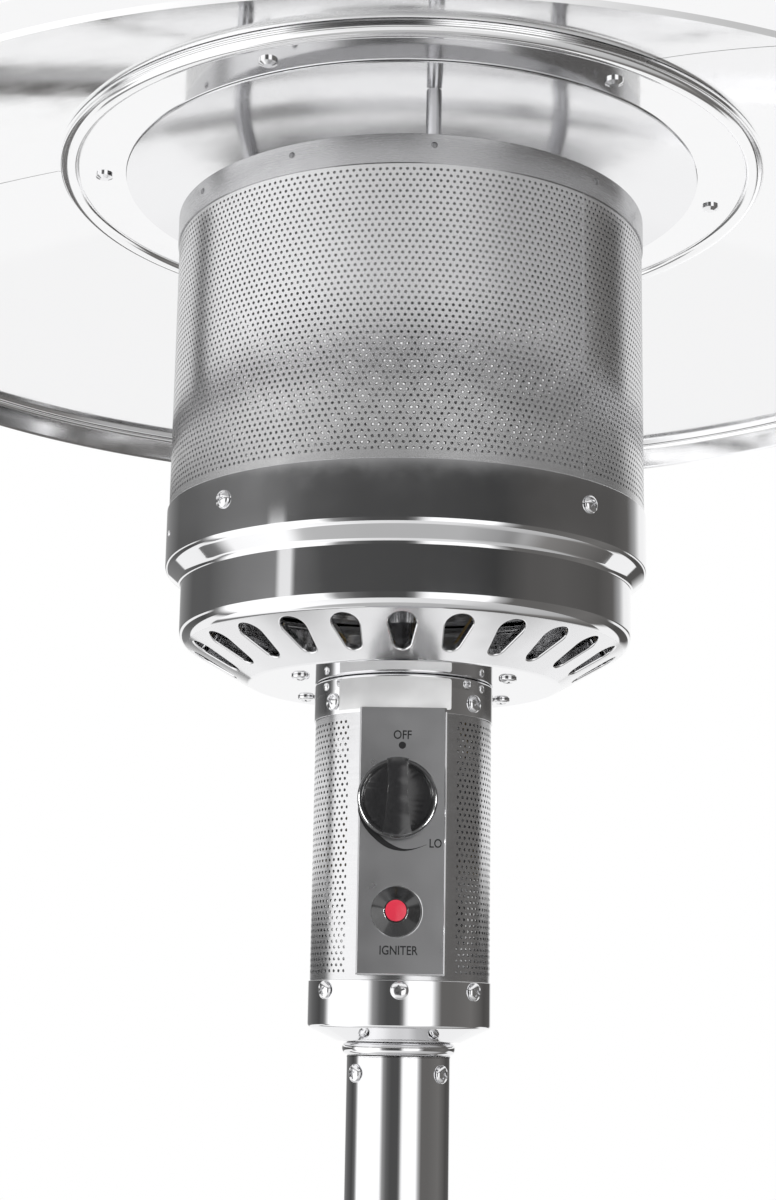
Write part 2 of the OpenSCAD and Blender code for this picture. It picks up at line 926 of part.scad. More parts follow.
// The flat control panel with its folded sides and bottom lip
module control_panel() {
    half = panel_w / 2;
    outline = [[-half, panel_return - panel_y], [-half, panel_t - panel_y], [panel_t - half, -panel_y],
        [half - panel_t, -panel_y], [half, panel_t - panel_y], [half, panel_return - panel_y]];
    color("gray")
        difference() {
            translate([0, 0, head_z + panel_z]) {
                linear_extrude(panel_top - panel_z)
                    polygon(thick(outline, panel_t));
                translate([panel_t - half, panel_t / 2 - panel_y, 0])
                    cube([panel_w - 2 * panel_t, panel_t, panel_t]);
            }
            translate([0, 0, head_z + upper_collar_z - over])
                cylinder(r = collar_r + nest, h = upper_collar_h);
            controls()
                cylinder(r = stem_hole_r, h = 2 * panel_y);
            igniter()
                cylinder(r = thread_r + gap, h = 2 * panel_y);
        }
}

// The collar between the guard and the bowl, with its inner flange on top
module upper_collar() {
    outline = [[collar_r, head_z + upper_collar_z], [collar_r, head_z + bowl_z],
        [bowl_hole_r + nest, head_z + bowl_z]];
    color("silver")
        difference() {
            turned(outline, sheet_t);
            collar_screw_holes();
        }
}

module collar_screws() {
    color("silver") {
        for (a = lower_screw_angles)
            radial(a, collar_r, head_z + lower_screw_z)
                pan_screw(screw_head_r, screw_head_h, screw_r, screw_len);
        for (a = upper_screw_angles)
            radial(a, collar_r, head_z + upper_screw_z)
                pan_screw(screw_head_r, screw_head_h, screw_r, screw_len);
    }
}

// Lays a child's +Z axis forwards through the knob's place, measured from the post's axis
module controls() {
    translate([control_x, 0, head_z + knob_z])
        rotate([90, 0, 0])
            children();
}

// The same through the igniter's place
module igniter() {
    translate([control_x, 0, head_z + igniter_z])
        rotate([90, 0, 0])
            children();
}

// The knob: a round skirt with a raised rim, and a waisted grip, narrower at its pointer end
module knob() {
    front = knob_back + knob_skirt;
    dish = front - knob_dish;
    color("black")
        controls()
            difference() {
                union() {
                    rotate_extrude()
                        polygon(concat([[0, knob_back], [knob_r - knob_round / 2, knob_back],
                            [knob_r, knob_back + knob_round / 2]],
                            arc([knob_r - knob_round, front - knob_round], knob_round, 0, 90, 4),
                            [[knob_r - knob_rim, front], [knob_r - knob_rim - knob_dish, dish], [0, dish]]));
                    translate([0, 0, dish])
                        linear_extrude(knob_back + knob_h - dish)
                            difference() {
                                circle(r = grip_end_r);
                                for (side = [-1, 1])
                                    translate([side * (grip_scoop_r + grip_w / 2), grip_waist_up])
                                        circle(r = grip_scoop_r);
                            }
                }
                translate([0, 0, knob_back - over])
                    cylinder(r = stem_r, h = stem_tip - knob_back + over);
            }
}

module valve_stem() {
    color("goldenrod")
        controls()
            translate([0, 0, stem_end])
                cylinder(r = stem_r, h = stem_tip - stem_end);
}

module valve_plug() {
    color("goldenrod")
        controls()
            difference() {
                translate([0, 0, plug_back])
                    cylinder(r = plug_r, h = plug_front - plug_back);
                translate([0, 0, plug_bore_end])
                    cylinder(r = stem_r + run, h = plug_front);
            }
}

// The gas valve: a block with a round boss, bored for the plug and the stem
module valve_body() {
    color("lightgray")
        controls()
            difference() {
                union() {
                    translate([-valve_w / 2, -valve_low, valve_back])
                        cube([valve_w, valve_low + valve_high, valve_face - valve_back]);
                    translate([0, 0, valve_face])
                        cylinder(r = valve_boss_r, h = valve_front - valve_face);
                }
                translate([0, 0, plug_back - gap])
                    cylinder(r = plug_r + run, h = plug_front - plug_back + 2 * gap);
                translate([0, 0, plug_front])
                    cylinder(r = stem_front_r, h = valve_front);
            }
}

// The bracket across the housing that carries the valve and the tilt switch
module valve_bracket() {
    color("gray")
        intersection() {
            translate([0, -bracket_y, head_z])
                union() {
                    translate([-guard_r, 0, bracket_low])
                        cube([2 * guard_r, bracket_t, bracket_high - bracket_low]);
                    translate([bracket_leg_x, 0, bracket_leg_low])
                        cube([bracket_leg_w, bracket_t, bracket_high - bracket_leg_low]);
                }
            translate([0, 0, head_z])
                cylinder(r = guard_r - sheet_t - gap, h = bowl_z);
        }
}

module inlet_fitting() {
    corner_x = control_x - valve_w / 2 - inlet_out;
    color("goldenrod")
        translate([corner_x, -inlet_y, head_z + inlet_z]) {
            difference() {
                union() {
                    rotate([0, 90, 0])
                        cylinder(r = inlet_r, h = inlet_out);
                    sphere(r = inlet_r);
                    translate([0, 0, -inlet_drop])
                        cylinder(r = inlet_r, h = inlet_drop);
                    translate([0, 0, -inlet_drop])
                        cylinder(r = inlet_nut_r, h = inlet_nut_h, $fn = 6);
                }
                translate([0, 0, -inlet_drop - over])
                    cylinder(r = inlet_bore_r, h = inlet_drop + over);
            }
        }
}

// The piezo igniter behind the panel, with the thread that its bezel screws on to
module igniter_body() {
    flange_front = panel_y - panel_t - nest;
    color("black")
        igniter()
            difference() {
                union() {
                    translate([0, 0, barrel_back])
                        cylinder(r = barrel_r, h = flange_front - barrel_back);
                    translate([0, 0, flange_front - flange_t])
                        cylinder(r = flange_r, h = flange_t);
                    translate([0, 0, barrel_back])
                        cylinder(r = thread_r, h = thread_front - barrel_back);
                    translate([0, 0, barrel_back - terminal_len])
                        cylinder(r = terminal_r, h = terminal_len);
                }
                translate([0, 0, barrel_bore_end])
                    cylinder(r = button_r + run, h = thread_front);
            }
}

module igniter_bezel() {
    back = panel_y + nest;
    color("black")
        igniter()
            difference() {
                rotate_extrude()
                    polygon([[0, back], [bezel_r, back], [bezel_r, back + panel_t],
                        [bezel_front_r, bezel_front], [0, bezel_front]]);
                translate([0, 0, back - over])
                    cylinder(r = thread_r, h = thread_front - back + over);
                translate([0, 0, back])
                    cylinder(r = button_r + run, h = bezel_front);
            }
}

module igniter_button() {
    color("crimson")
        igniter()
            translate([0, 0, button_back])
                cylinder(r = button_r, h = button_front - button_back);
}

module tilt_switch() {
    color("dimgray")
        translate([switch_x, bracket_t - bracket_y, head_z + switch_z])
            cube([switch_w, switch_d, switch_h]);
}

// Gas way and burner
tube_top = head_z + injector_z;
valve_top = head_z + knob_z + valve_high;

// A place in plan at a height of the head
function at(p, z) = [p[0], p[1], head_z + z];

module main_gas_tube() {
    y = -inlet_y;
    color("silver")
        rod_path([[main_tube_x, y, valve_top], at([main_tube_x, y], bracket_high + tube_r),
            at([0, 0], upper_collar_z - tube_r), [0, 0, tube_top]], tube_r);
}

module injector() {
    color("goldenrod")
        translate([0, 0, tube_top]) {
            cylinder(r = injector_r, h = mixer_z + mixer_plate_t - injector_z);
            translate([0, 0, tube_r / 2])
                cylinder(r = injector_r + tube_r / 2, h = 2 * tube_r, $fn = 6);
            cylinder(r = nozzle_r, h = mixer_z + mixer_plate_t - injector_z + nozzle_len);
        }
}

// The venturi tube that mixes gas and air, with the pierced plate that holds the injector
module mixer_tube() {
    low = head_z + mixer_z;
    throat = mixer_mouth_r - mixer_throat_r;
    outline = [[mixer_mouth_r, low], [mixer_mouth_r, low + mixer_r / 4], [mixer_throat_r, low + 2 * throat],
        [mixer_throat_r, low + 3 * throat], [mixer_r, low + 5 * throat], [mixer_r, head_z + mixer_top]];
    color("gray") {
        turned(outline, mixer_t);
        difference() {
            translate([0, 0, low])
                cylinder(r = mixer_mouth_r - mixer_t / 2, h = mixer_plate_t);
            translate([0, 0, low - over])
                cylinder(r = injector_r, h = mixer_plate_t + 2 * over);
            for (i = [0 : 3])
                rotate([0, 0, 90 * i])
                    translate([mixer_air_at, 0, low - over])
                        cylinder(r = mixer_air_r, h = mixer_plate_t + 2 * over);
        }
    }
}

// The burner drum with its ring of gas ports
module burner_head() {
    low = head_z + floor_top;
    crown = arc([head_burner_r - port_z / 2, low + head_burner_h - port_z / 2], port_z / 2, 0, 90, 5);
    color("dimgray")
        difference() {
            turned(concat([[head_burner_r, low]], crown, [[0, low + head_burner_h]]), head_burner_t);
            for (i = [0 : port_count - 1])
                radial(i * 360 / port_count, head_burner_r - head_burner_t - over, low + port_z)
                    cylinder(r = port_r, h = head_burner_t + 2 * over);
        }
}

module burner_floor() {
    color("silver")
        difference() {
            translate([0, 0, head_z + floor_z])
                cylinder(r = floor_r, h = floor_t);
            translate([0, 0, head_z + floor_z - over])
                cylinder(r = mixer_r, h = floor_t + 2 * over);
            translate(at(pilot_at, floor_z - over))
                cylinder(r = pilot_r, h = floor_t + 2 * over);
            translate(at(electrode_at, floor_z - over))
                cylinder(r = lead_r, h = floor_t + 2 * over);
            translate(at(couple_at, floor_z - over))
                cylinder(r = couple_wire_r, h = floor_t + 2 * over);
        }
}

// One tapering vent as seen from above: a wide outer end, a narrow inner end, straight sides
module vent_shape() {
    spread = vent_outer_at - vent_inner_at;
    lean = (vent_outer_r - vent_inner_r) / spread;
    rise = sqrt(1 - lean * lean);
    translate([0, -vent_outer_at])
        circle(r = vent_outer_r);
    translate([0, -vent_inner_at])
        circle(r = vent_inner_r);
    polygon([[-vent_outer_r * rise, -vent_outer_at - vent_outer_r * lean],
        [vent_outer_r * rise, -vent_outer_at - vent_outer_r * lean],
        [vent_inner_r * rise, -vent_inner_at - vent_inner_r * lean],
        [-vent_inner_r * rise, -vent_inner_at - vent_inner_r * lean]]);
}

// The polished bowl: a conical underside with vents, the lower band, a rounded step, the upper band
module burner_bowl() {
    low = head_z + bowl_low_z;
    step_r = step_share * (upper_band_r - lower_band_r);
    corner = arc([lower_band_r - bowl_round, low + bowl_round], bowl_round, cone_lean - 90, 0, 5);
    shoulder = arc([upper_band_r - step_r, head_z + band_z], step_r, -75, 0, 6);
    outline = concat([[bowl_hole_r, head_z + bowl_z], [cone_r, head_z + bowl_z]], corner,
        [[lower_band_r, head_z + step_z]], shoulder, [[upper_band_r, head_z + bowl_top]]);
    color("gainsboro")
        difference() {
            turned(outline, sheet_t);
            for (i = [0 : vent_count - 1])
                rotate([0, 0, vent_turn + i * 360 / vent_count])
                    translate([0, 0, head_z + bowl_z + over])
                        linear_extrude(cone_rise + bowl_round)
                            vent_shape();
            bowl_screw_holes();
            foot_screw_places()
                translate([0, 0, -over])
                    cylinder(r = screw_r, h = sheet_t + 2 * over);
        }
}

// Puts a child at each screw of the bowl's flat foot, on its underside
module foot_screw_places() {
    for (a = foot_screw_angles)
        rotate([0, 0, a])
            translate([0, -foot_screw_at, head_z + bowl_z])
                children();
}

module bowl_screw_holes() {
    for (i = [0 : 3])
        radial(bowl_screw_angle + 90 * i, emitter_r - emitter_t - over, head_z + bowl_screw_z)
            cylinder(r = screw_r, h = upper_band_r - emitter_r + emitter_t + 2 * over);
}

module bowl_screws() {
    color("silver") {
        for (i = [0 : 3])
            radial(bowl_screw_angle + 90 * i, upper_band_r, head_z + bowl_screw_z)
                pan_screw(screw_head_r, screw_head_h, screw_r, screw_len);
        foot_screw_places()
            mirror([0, 0, 1])
                pan_screw(screw_head_r, screw_head_h, screw_r, screw_len);
    }
}

// Pilot
pilot_low = [30, -8];
couple_low = [40, 12];
couple_in = [30, -2];
lead_low = [-36, 6];
lead_high = [10, -40];
turn_z = bowl_low_z;
under_floor = 24;
under_floor_z = floor_z - under_floor;
pilot_out = 16;
pilot_out_z = knob_z + pilot_out;

module pilot_tube() {
    side = control_x + valve_w / 2;
    color("goldenrod")
        wire([at([side, -inlet_y], pilot_out_z), at([side + inlet_out, -inlet_y], pilot_out_z),
            at(pilot_low, upper_collar_z), at(pilot_low, turn_z), at(pilot_at, under_floor_z),
            at(pilot_at, floor_top)], pilot_r);
}

module pilot_burner() {
    color("gray")
        translate(at(pilot_at, floor_top))
            difference() {
                cylinder(r = pilot_hood_r, h = pilot_h);
                translate([0, 0, pilot_h / 2])
                    cylinder(r = pilot_hood_r - panel_t, h = pilot_h);
                translate([-2 * pilot_hood_r, -pilot_r, pilot_h - 2 * pilot_hood_r])
                    cube([2 * pilot_hood_r, 2 * pilot_r, 2 * pilot_hood_r + over]);
            }
}

// The ceramic electrode with the insulated lead that comes from the igniter
module spark_electrode() {
    color("white") {
        wire([at([control_x, terminal_len - barrel_back], igniter_z),
            at([control_x, terminal_len], igniter_z), at(lead_low, bracket_low),
            at(lead_low, bracket_high + 2 * tube_r),
            at(lead_high, upper_collar_z + tube_r), at(lead_high, turn_z), at(electrode_at, under_floor_z),
            at(electrode_at, floor_top)], lead_r);
        translate(at(electrode_at, floor_top))
            cylinder(r = ceramic_r, h = ceramic_h);
        translate(at(electrode_at, floor_top + ceramic_h))
            cylinder(r = tip_r, h = tip_h);
    }
}

// The thermocouple with its lead down to the tilt switch
module thermocouple() {
    color("goldenrod") {
        translate(at(couple_at, floor_top))
            cylinder(r = couple_r, h = couple_h);
        wire([at(couple_at, floor_top), at(couple_at, under_floor_z), at(couple_low, turn_z),
            at(couple_low, bracket_high), at(couple_in, bracket_low + 2 * tube_r),
            at(couple_in, switch_z + switch_h)], couple_wire_r);
    }
}

// Emitter
stud_angles = [stud_angle, stud_angle + 120, stud_angle + 240];

// The perforated cylinder that glows when the heater burns
module emitter_screen() {
    low = head_z + screen_plain + hole_r;
    high = head_z + emitter_top - emitter_band_h - hole_r;
    color("gainsboro")
        difference() {
            translate([0, 0, head_z + screen_z])
                tube(emitter_r, emitter_t, screen_top - screen_z);
            perforation(emitter_r, emitter_t, hole_pitch, hole_r, low, high, 0, 360);
            bowl_screw_holes();
        }
}

module emitter_band() {
    color("silver")
        translate([0, 0, head_z + emitter_top - emitter_band_h])
            tube(band_r, emitter_t, emitter_band_h);
}

module emitter_cap() {
    inner = emitter_r - emitter_t - nest;
    top = head_z + cap_z + cap_t;
    color("silver")
        difference() {
            turned([[inner, top - cap_flange], [inner, top], [0, top]], cap_t);
            for (a = stud_angles)
                at_angle(a)
                    translate([0, -stud_at, top - cap_t - over])
                        cylinder(r = stud_screw_r, h = cap_t + 2 * over);
        }
}

module reflector_studs() {
    foot = head_z + cap_z + cap_t;
    shoulder = head_z + disc_under(stud_at + stud_r);
    color("silver")
        for (a = stud_angles)
            at_angle(a)
                translate([0, -stud_at, 0]) {
                    translate([0, 0, foot])
                        cylinder(r = stud_r, h = shoulder - foot);
                    translate([0, 0, foot - cap_t - stud_below])
                        cylinder(r = stud_screw_r, h = head_z + disc_under(stud_at) + stud_above - foot
                            + cap_t + stud_below);
                    translate([0, 0, foot - cap_t - stud_nut_h])
                        cylinder(r = stud_nut_r, h = stud_nut_h, $fn = 6);
                }
}

module wing_nuts() {
    foot = head_z + disc_under(stud_at - wing_r) + disc_t + plate_t + 2 * plate_lift;
    color("silver")
        for (a = stud_angles)
            at_angle(a)
                translate([0, -stud_at, foot])
                    difference() {
                        union() {
                            cylinder(r = wing_r, h = wing_h);
                            translate([-wing_span, -wing_t / 2, wing_h / 3])
                                cube([2 * wing_span, wing_t, wing_rise]);
                            for (side = [-1, 1])
                                translate([side * (wing_span - wing_rise / 2), wing_t / 2,
                                    wing_h / 3 + wing_rise])
                                    rotate([90, 0, 0])
                                        cylinder(r = wing_rise / 2, h = wing_t);
                        }
                        translate([0, 0, -over])
                            cylinder(r = stud_screw_r, h = 2 * wing_h + wing_rise);
                    }
}

// Reflector
disc_steps = 12;
plate_steps = 6;
panel_steps = 8;

// The domed inner disc that hangs under the plate
module inner_disc() {
    dome = [for (i = [1 : disc_steps]) let (r = disc_r * i / disc_steps) [r, head_z + disc_under(r)]];
    outline = concat([[0, dome[0][1]]], dome);
    color("whitesmoke")
        difference() {
            turned(outline, disc_t);
            stud_holes();
        }
}

module stud_holes() {
    for (a = stud_angles)
        at_angle(a)
            translate([0, -stud_at, head_z + disc_edge_z])
                cylinder(r = stud_screw_r, h = 2 * stud_at);
}

// The plate that carries the panels: domed inside, flat under the panels, rolled at its edge
module reflector_plate() {
    z = head_z + plate_z;
    bead_round = (plate_bead_r * plate_bead_r + plate_bead_drop * plate_bead_drop) / (2 * plate_bead_drop);
    half = asin(plate_bead_r / bead_round);
    bead_at = plate_r - plate_bead_r - plate_t;
    dome = [for (i = [0 : plate_steps])
        let (r = plate_hole_r + (disc_r - plate_hole_r) * i / plate_steps)
            [r, head_z + disc_under(r) + disc_t + plate_lift]];
    bead = arc([bead_at, z + bead_round - plate_bead_drop], bead_round, 270 - half, 270 + half, 8);
    color("gainsboro")
        difference() {
            turned(concat(dome, bead, [[plate_r, z]]), plate_t);
            stud_holes();
            for (i = [0 : 5])
                at_angle(screw_ring_angle + 60 * i)
                    translate([0, -screw_ring_r, z - over])
                        cylinder(r = screw_r, h = plate_t + 2 * over);
        }
}

function panel_point(share) = [panel_flat_r + (panel_edge_r - panel_bend - panel_flat_r) * share,
    head_z + panel_z0 - panel_drop * share * (1 - panel_curve_share + panel_curve_share * share)];

// One third of the reflector, with a turned-down rim, a hem and a standing seam at each end
module reflector_panel(number) {
    seam = seam_gap / panel_inner_r * 90 / PI;
    rim_z = head_z + panel_z0 - panel_drop - panel_bend;
    slope = [for (i = [0 : panel_steps]) panel_point(i / panel_steps)];
    outline = concat([[panel_inner_r, head_z + panel_z0]], slope,
        arc([panel_edge_r - panel_bend, rim_z], panel_bend, 55, 0, 4),
        [[panel_edge_r, rim_z - rim_h], [panel_edge_r - hem / 2, rim_z - rim_h - hem / 2]]);
    color("whitesmoke")
        difference() {
            at_angle(screw_ring_angle + 120 * number - 90) {
                rotate([0, 0, seam])
                    turned(outline, panel_sheet_t, 120 - 2 * seam);
                rotate([90, 0, seam])
                    translate([0, 0, -panel_sheet_t])
                        linear_extrude(panel_sheet_t)
                            polygon(thick(slope, flange_h));
                rotate([90, 0, 120 - seam])
                    linear_extrude(panel_sheet_t)
                        polygon(thick(slope, flange_h));
            }
            for (i = [0 : 5])
                at_angle(screw_ring_angle + 60 * i)
                    translate([0, -screw_ring_r, head_z + panel_z0 - over])
                        cylinder(r = screw_r, h = panel_sheet_t + 2 * over);
        }
}

module reflector_panel_1() {
    reflector_panel(0);
}

module reflector_panel_2() {
    reflector_panel(1);
}

module reflector_panel_3() {
    reflector_panel(2);
}

// The screws that hold the panels, heads below and nuts on top
module plate_screws() {
    grip = plate_t + nest + panel_sheet_t;
    color("silver")
        for (i = [0 : 5])
            at_angle(screw_ring_angle + 60 * i)
                translate([0, -screw_ring_r, head_z + plate_z]) {
                    mirror([0, 0, 1])
                        pan_screw(screw_head_r, screw_head_h, screw_r, screw_len);
                    translate([0, 0, grip])
                        cylinder(r = screw_head_r, h = screw_head_h, $fn = 6);
                }
}

base_plate();
base_weight();
frame_bolts();
wheel_bracket();
wheel_axle();
axle_caps();
wheel_left_hub();
wheel_left_tyre();
wheel_right_hub();
wheel_right_tyre();
support_strap_left();
support_strap_right();
support_strap_rear();
post_socket();
lower_post();
upper_post();
post_sleeve();
post_screws();
tank_housing();
tank_lid();
lid_screws();
head_neck();
lower_collar();
control_guard();
control_panel();
upper_collar();
collar_screws();
knob();
valve_stem();
valve_plug();
valve_body();
valve_bracket();
inlet_fitting();
igniter_body();
igniter_bezel();
igniter_button();
tilt_switch();
main_gas_tube();
injector();
mixer_tube();
burner_head();
burner_floor();
burner_bowl();
bowl_screws();
pilot_tube();
pilot_burner();
spark_electrode();
thermocouple();
emitter_screen();
emitter_band();
emitter_cap();
reflector_studs();
wing_nuts();
inner_disc();
reflector_plate();
reflector_panel_1();
reflector_panel_2();
reflector_panel_3();
plate_screws();
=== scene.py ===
import math
import random

import bmesh
import bpy
import numpy as np
from mathutils import Matrix, Vector


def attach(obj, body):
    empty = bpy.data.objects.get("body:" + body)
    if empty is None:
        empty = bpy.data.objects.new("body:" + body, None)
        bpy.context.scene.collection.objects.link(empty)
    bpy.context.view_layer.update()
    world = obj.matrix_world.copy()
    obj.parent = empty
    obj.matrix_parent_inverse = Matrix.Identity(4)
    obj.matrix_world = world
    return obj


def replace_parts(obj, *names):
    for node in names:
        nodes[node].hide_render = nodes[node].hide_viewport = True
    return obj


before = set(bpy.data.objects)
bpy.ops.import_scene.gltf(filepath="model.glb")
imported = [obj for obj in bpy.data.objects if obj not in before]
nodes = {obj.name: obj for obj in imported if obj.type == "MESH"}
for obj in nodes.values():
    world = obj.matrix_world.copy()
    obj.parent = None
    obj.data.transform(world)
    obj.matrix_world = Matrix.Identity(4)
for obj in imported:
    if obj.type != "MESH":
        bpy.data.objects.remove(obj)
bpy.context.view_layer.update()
scene = bpy.context.scene

# Profiles and places are in millimetres. Their heights count from the head's lower edge, which lies H over
# the floor.
MM = 0.001
H = 1625.0

# The camera, fitted to the round edges that the photograph shows. Lengths in metres, angles in radians.
CAMERA_BACK, CAMERA_UP = 1.2805, 0.0003
PITCH, ROLL, YAW = 0.2067, 0.0165, 0.0086
LENS, SENSOR = 61.263, 36
NEAREST, FARTHEST = 0.05, 80


def yawed(v):
    c, s = math.cos(YAW), math.sin(YAW)
    return Vector((c * v[0] - s * v[1], s * v[0] + c * v[1], v[2]))


def make_camera():
    cp, sp, cr, sr = math.cos(PITCH), math.sin(PITCH), math.cos(ROLL), math.sin(ROLL)
    right = yawed((cr, -sp * sr, cp * sr))
    up = yawed((-sr, -sp * cr, cp * cr))
    ahead = yawed((0, cp, sp))
    data = bpy.data.cameras.new("camera")
    data.lens = LENS
    data.sensor_width = SENSOR
    data.sensor_fit = "AUTO"
    data.clip_start, data.clip_end = NEAREST, FARTHEST
    cam = bpy.data.objects.new("camera", data)
    scene.collection.objects.link(cam)
    cam.matrix_world = Matrix(((right.x, up.x, -ahead.x, 0.0), (right.y, up.y, -ahead.y, -CAMERA_BACK),
                               (right.z, up.z, -ahead.z, H * MM + CAMERA_UP), (0, 0, 0, 1)))
    scene.camera = cam


make_camera()
scene.view_settings.view_transform = "Standard"

# Node trees. A Mix node's colours have these sockets.
MIX_A, MIX_B, MIX_OUT = 6, 7, 2
WHITE = (1.0, 1.0, 1.0, 1.0)


class Tree:
    """A short hand for building the node tree of a material or of the world."""

    def __init__(self, owner, out):
        owner.use_nodes = True
        self.tree = owner.node_tree
        self.tree.nodes.clear()
        self.surface = self.add(out).inputs["Surface"]

    def add(self, kind, inputs=None, **values):
        n = self.tree.nodes.new(kind)
        for k, v in values.items():
            setattr(n, k, v)
        for k, v in (inputs or {}).items():
            self.put(v, n.inputs[k])
        return n

    def put(self, value, socket):
        """Sets a socket to a number or a colour, or links an output to it."""
        if isinstance(value, (int, float, tuple)):
            socket.default_value = value
        else:
            self.tree.links.new(value, socket)

    def calc(self, operation, a, b):
        return self.add("ShaderNodeMath", {0: a, 1: b}, operation=operation).outputs[0]

    def rise(self, value, low, high, kind="SMOOTHSTEP"):
        """Goes from 0 to 1 where a value goes from low to high."""
        n = self.add("ShaderNodeMapRange", {"Value": value, "From Min": low, "From Max": high},
                     interpolation_type=kind)
        return n.outputs["Result"]

    def colours(self, share, a, b):
        n = self.add("ShaderNodeMix", data_type="RGBA")
        for value, socket in ((share, "Factor"), (a, MIX_A), (b, MIX_B)):
            self.put(value, n.inputs[socket])
        return n.outputs[MIX_OUT]

    def shaders(self, share, a, b):
        """Mixes two shaders for the surface."""
        self.put(self.add("ShaderNodeMixShader", {0: share, 1: a, 2: b}).outputs[0], self.surface)

    def seen(self):
        """1 for camera, glossy and transmission rays."""
        path = self.add("ShaderNodeLightPath").outputs
        first = self.calc("MAXIMUM", path["Is Camera Ray"], path["Is Glossy Ray"])
        return self.calc("MAXIMUM", first, path["Is Transmission Ray"])


class Surface(Tree):
    """A Principled material whose tone, gloss and relief come from noise over object coordinates."""

    MIDDLE = (0.3, 0.7)

    def __init__(self, name, **values):
        self.mat = bpy.data.materials.new(name)
        super().__init__(self.mat, "ShaderNodeOutputMaterial")
        self.bsdf = self.add("ShaderNodeBsdfPrincipled", {k.replace("_", " "): v for k, v in values.items()})
        self.put(self.bsdf.outputs["BSDF"], self.surface)
        self.coord = self.add("ShaderNodeTexCoord").outputs["Object"]

    def noise(self, scale, detail, rough=0.55):
        """The scale is in cycles per metre, one for all axes or three."""
        scale = scale if isinstance(scale, tuple) else (scale,) * 3
        place = self.add("ShaderNodeMapping", {"Vector": self.coord, "Scale": scale}).outputs["Vector"]
        return self.add("ShaderNodeTexNoise", {"Vector": place, "Scale": 1.0, "Detail": detail,
                                               "Roughness": rough}).outputs["Fac"]

    def tones(self, noise, dark, light):
        ramp = self.add("ShaderNodeValToRGB", {"Fac": noise})
        for e, at, colour in zip(ramp.color_ramp.elements, self.MIDDLE, (dark, light)):
            e.position = at
            e.color = (*colour, 1)
        self.put(ramp.outputs["Color"], self.bsdf.inputs["Base Color"])

    def gloss(self, noise, rough, spread):
        low, high = self.MIDDLE
        n = self.add("ShaderNodeMapRange", {"Value": noise, "From Min": low, "From Max": high,
                                            "To Min": rough - spread, "To Max": rough + spread})
        self.put(n.outputs["Result"], self.bsdf.inputs["Roughness"])

    def bump(self, noise, height, below=None):
        """Relief of a height in metres, over an earlier relief, as the surface's normal."""
        n = self.add("ShaderNodeBump", {"Strength": 1.0, "Distance": height, "Height": noise})
        if below is not None:
            self.put(below, n.inputs["Normal"])
        self.put(n.outputs["Normal"], self.bsdf.inputs["Normal"])
        return n.outputs["Normal"]


def metal(name, colour, rough, spread=0.03, grain=None, grain_height=0.0, waves=0.0, blotch=0.0):
    """A metal with uneven gloss, an optional drawn grain and slow waves in its surface."""
    s = Surface(name, Metallic=1.0)
    s.tones(s.noise(14, 4), [c * (1 - blotch) for c in colour], colour)
    below = s.bump(s.noise(9, 1), waves) if waves else None
    fine = s.noise(grain, 4, 0.7) if grain else s.noise(45, 5)
    s.gloss(fine, rough, spread)
    if grain:
        s.bump(fine, grain_height, below)
    return s.mat


def plastic(name, colour, rough, texture, height, coat=0.0, specular=0.5):
    """A moulded surface with a fine texture in cycles per metre, of a height in metres."""
    s = Surface(name, Specular_IOR_Level=specular, Coat_Weight=coat, Coat_Roughness=0.12)
    s.tones(s.noise(30, 3), [c * 0.85 for c in colour], colour)
    fine = s.noise(texture, 2)
    s.gloss(fine, rough, 0.04)
    s.bump(fine, height)
    return s.mat


def cast_iron():
    s = Surface("cast_iron", Metallic=0.85)
    s.tones(s.noise(40, 5), (0.07, 0.07, 0.072), (0.17, 0.165, 0.16))
    sand = s.noise(900, 4)
    s.gloss(sand, 0.625, 0.125)
    s.bump(sand, 0.00025)
    return s.mat


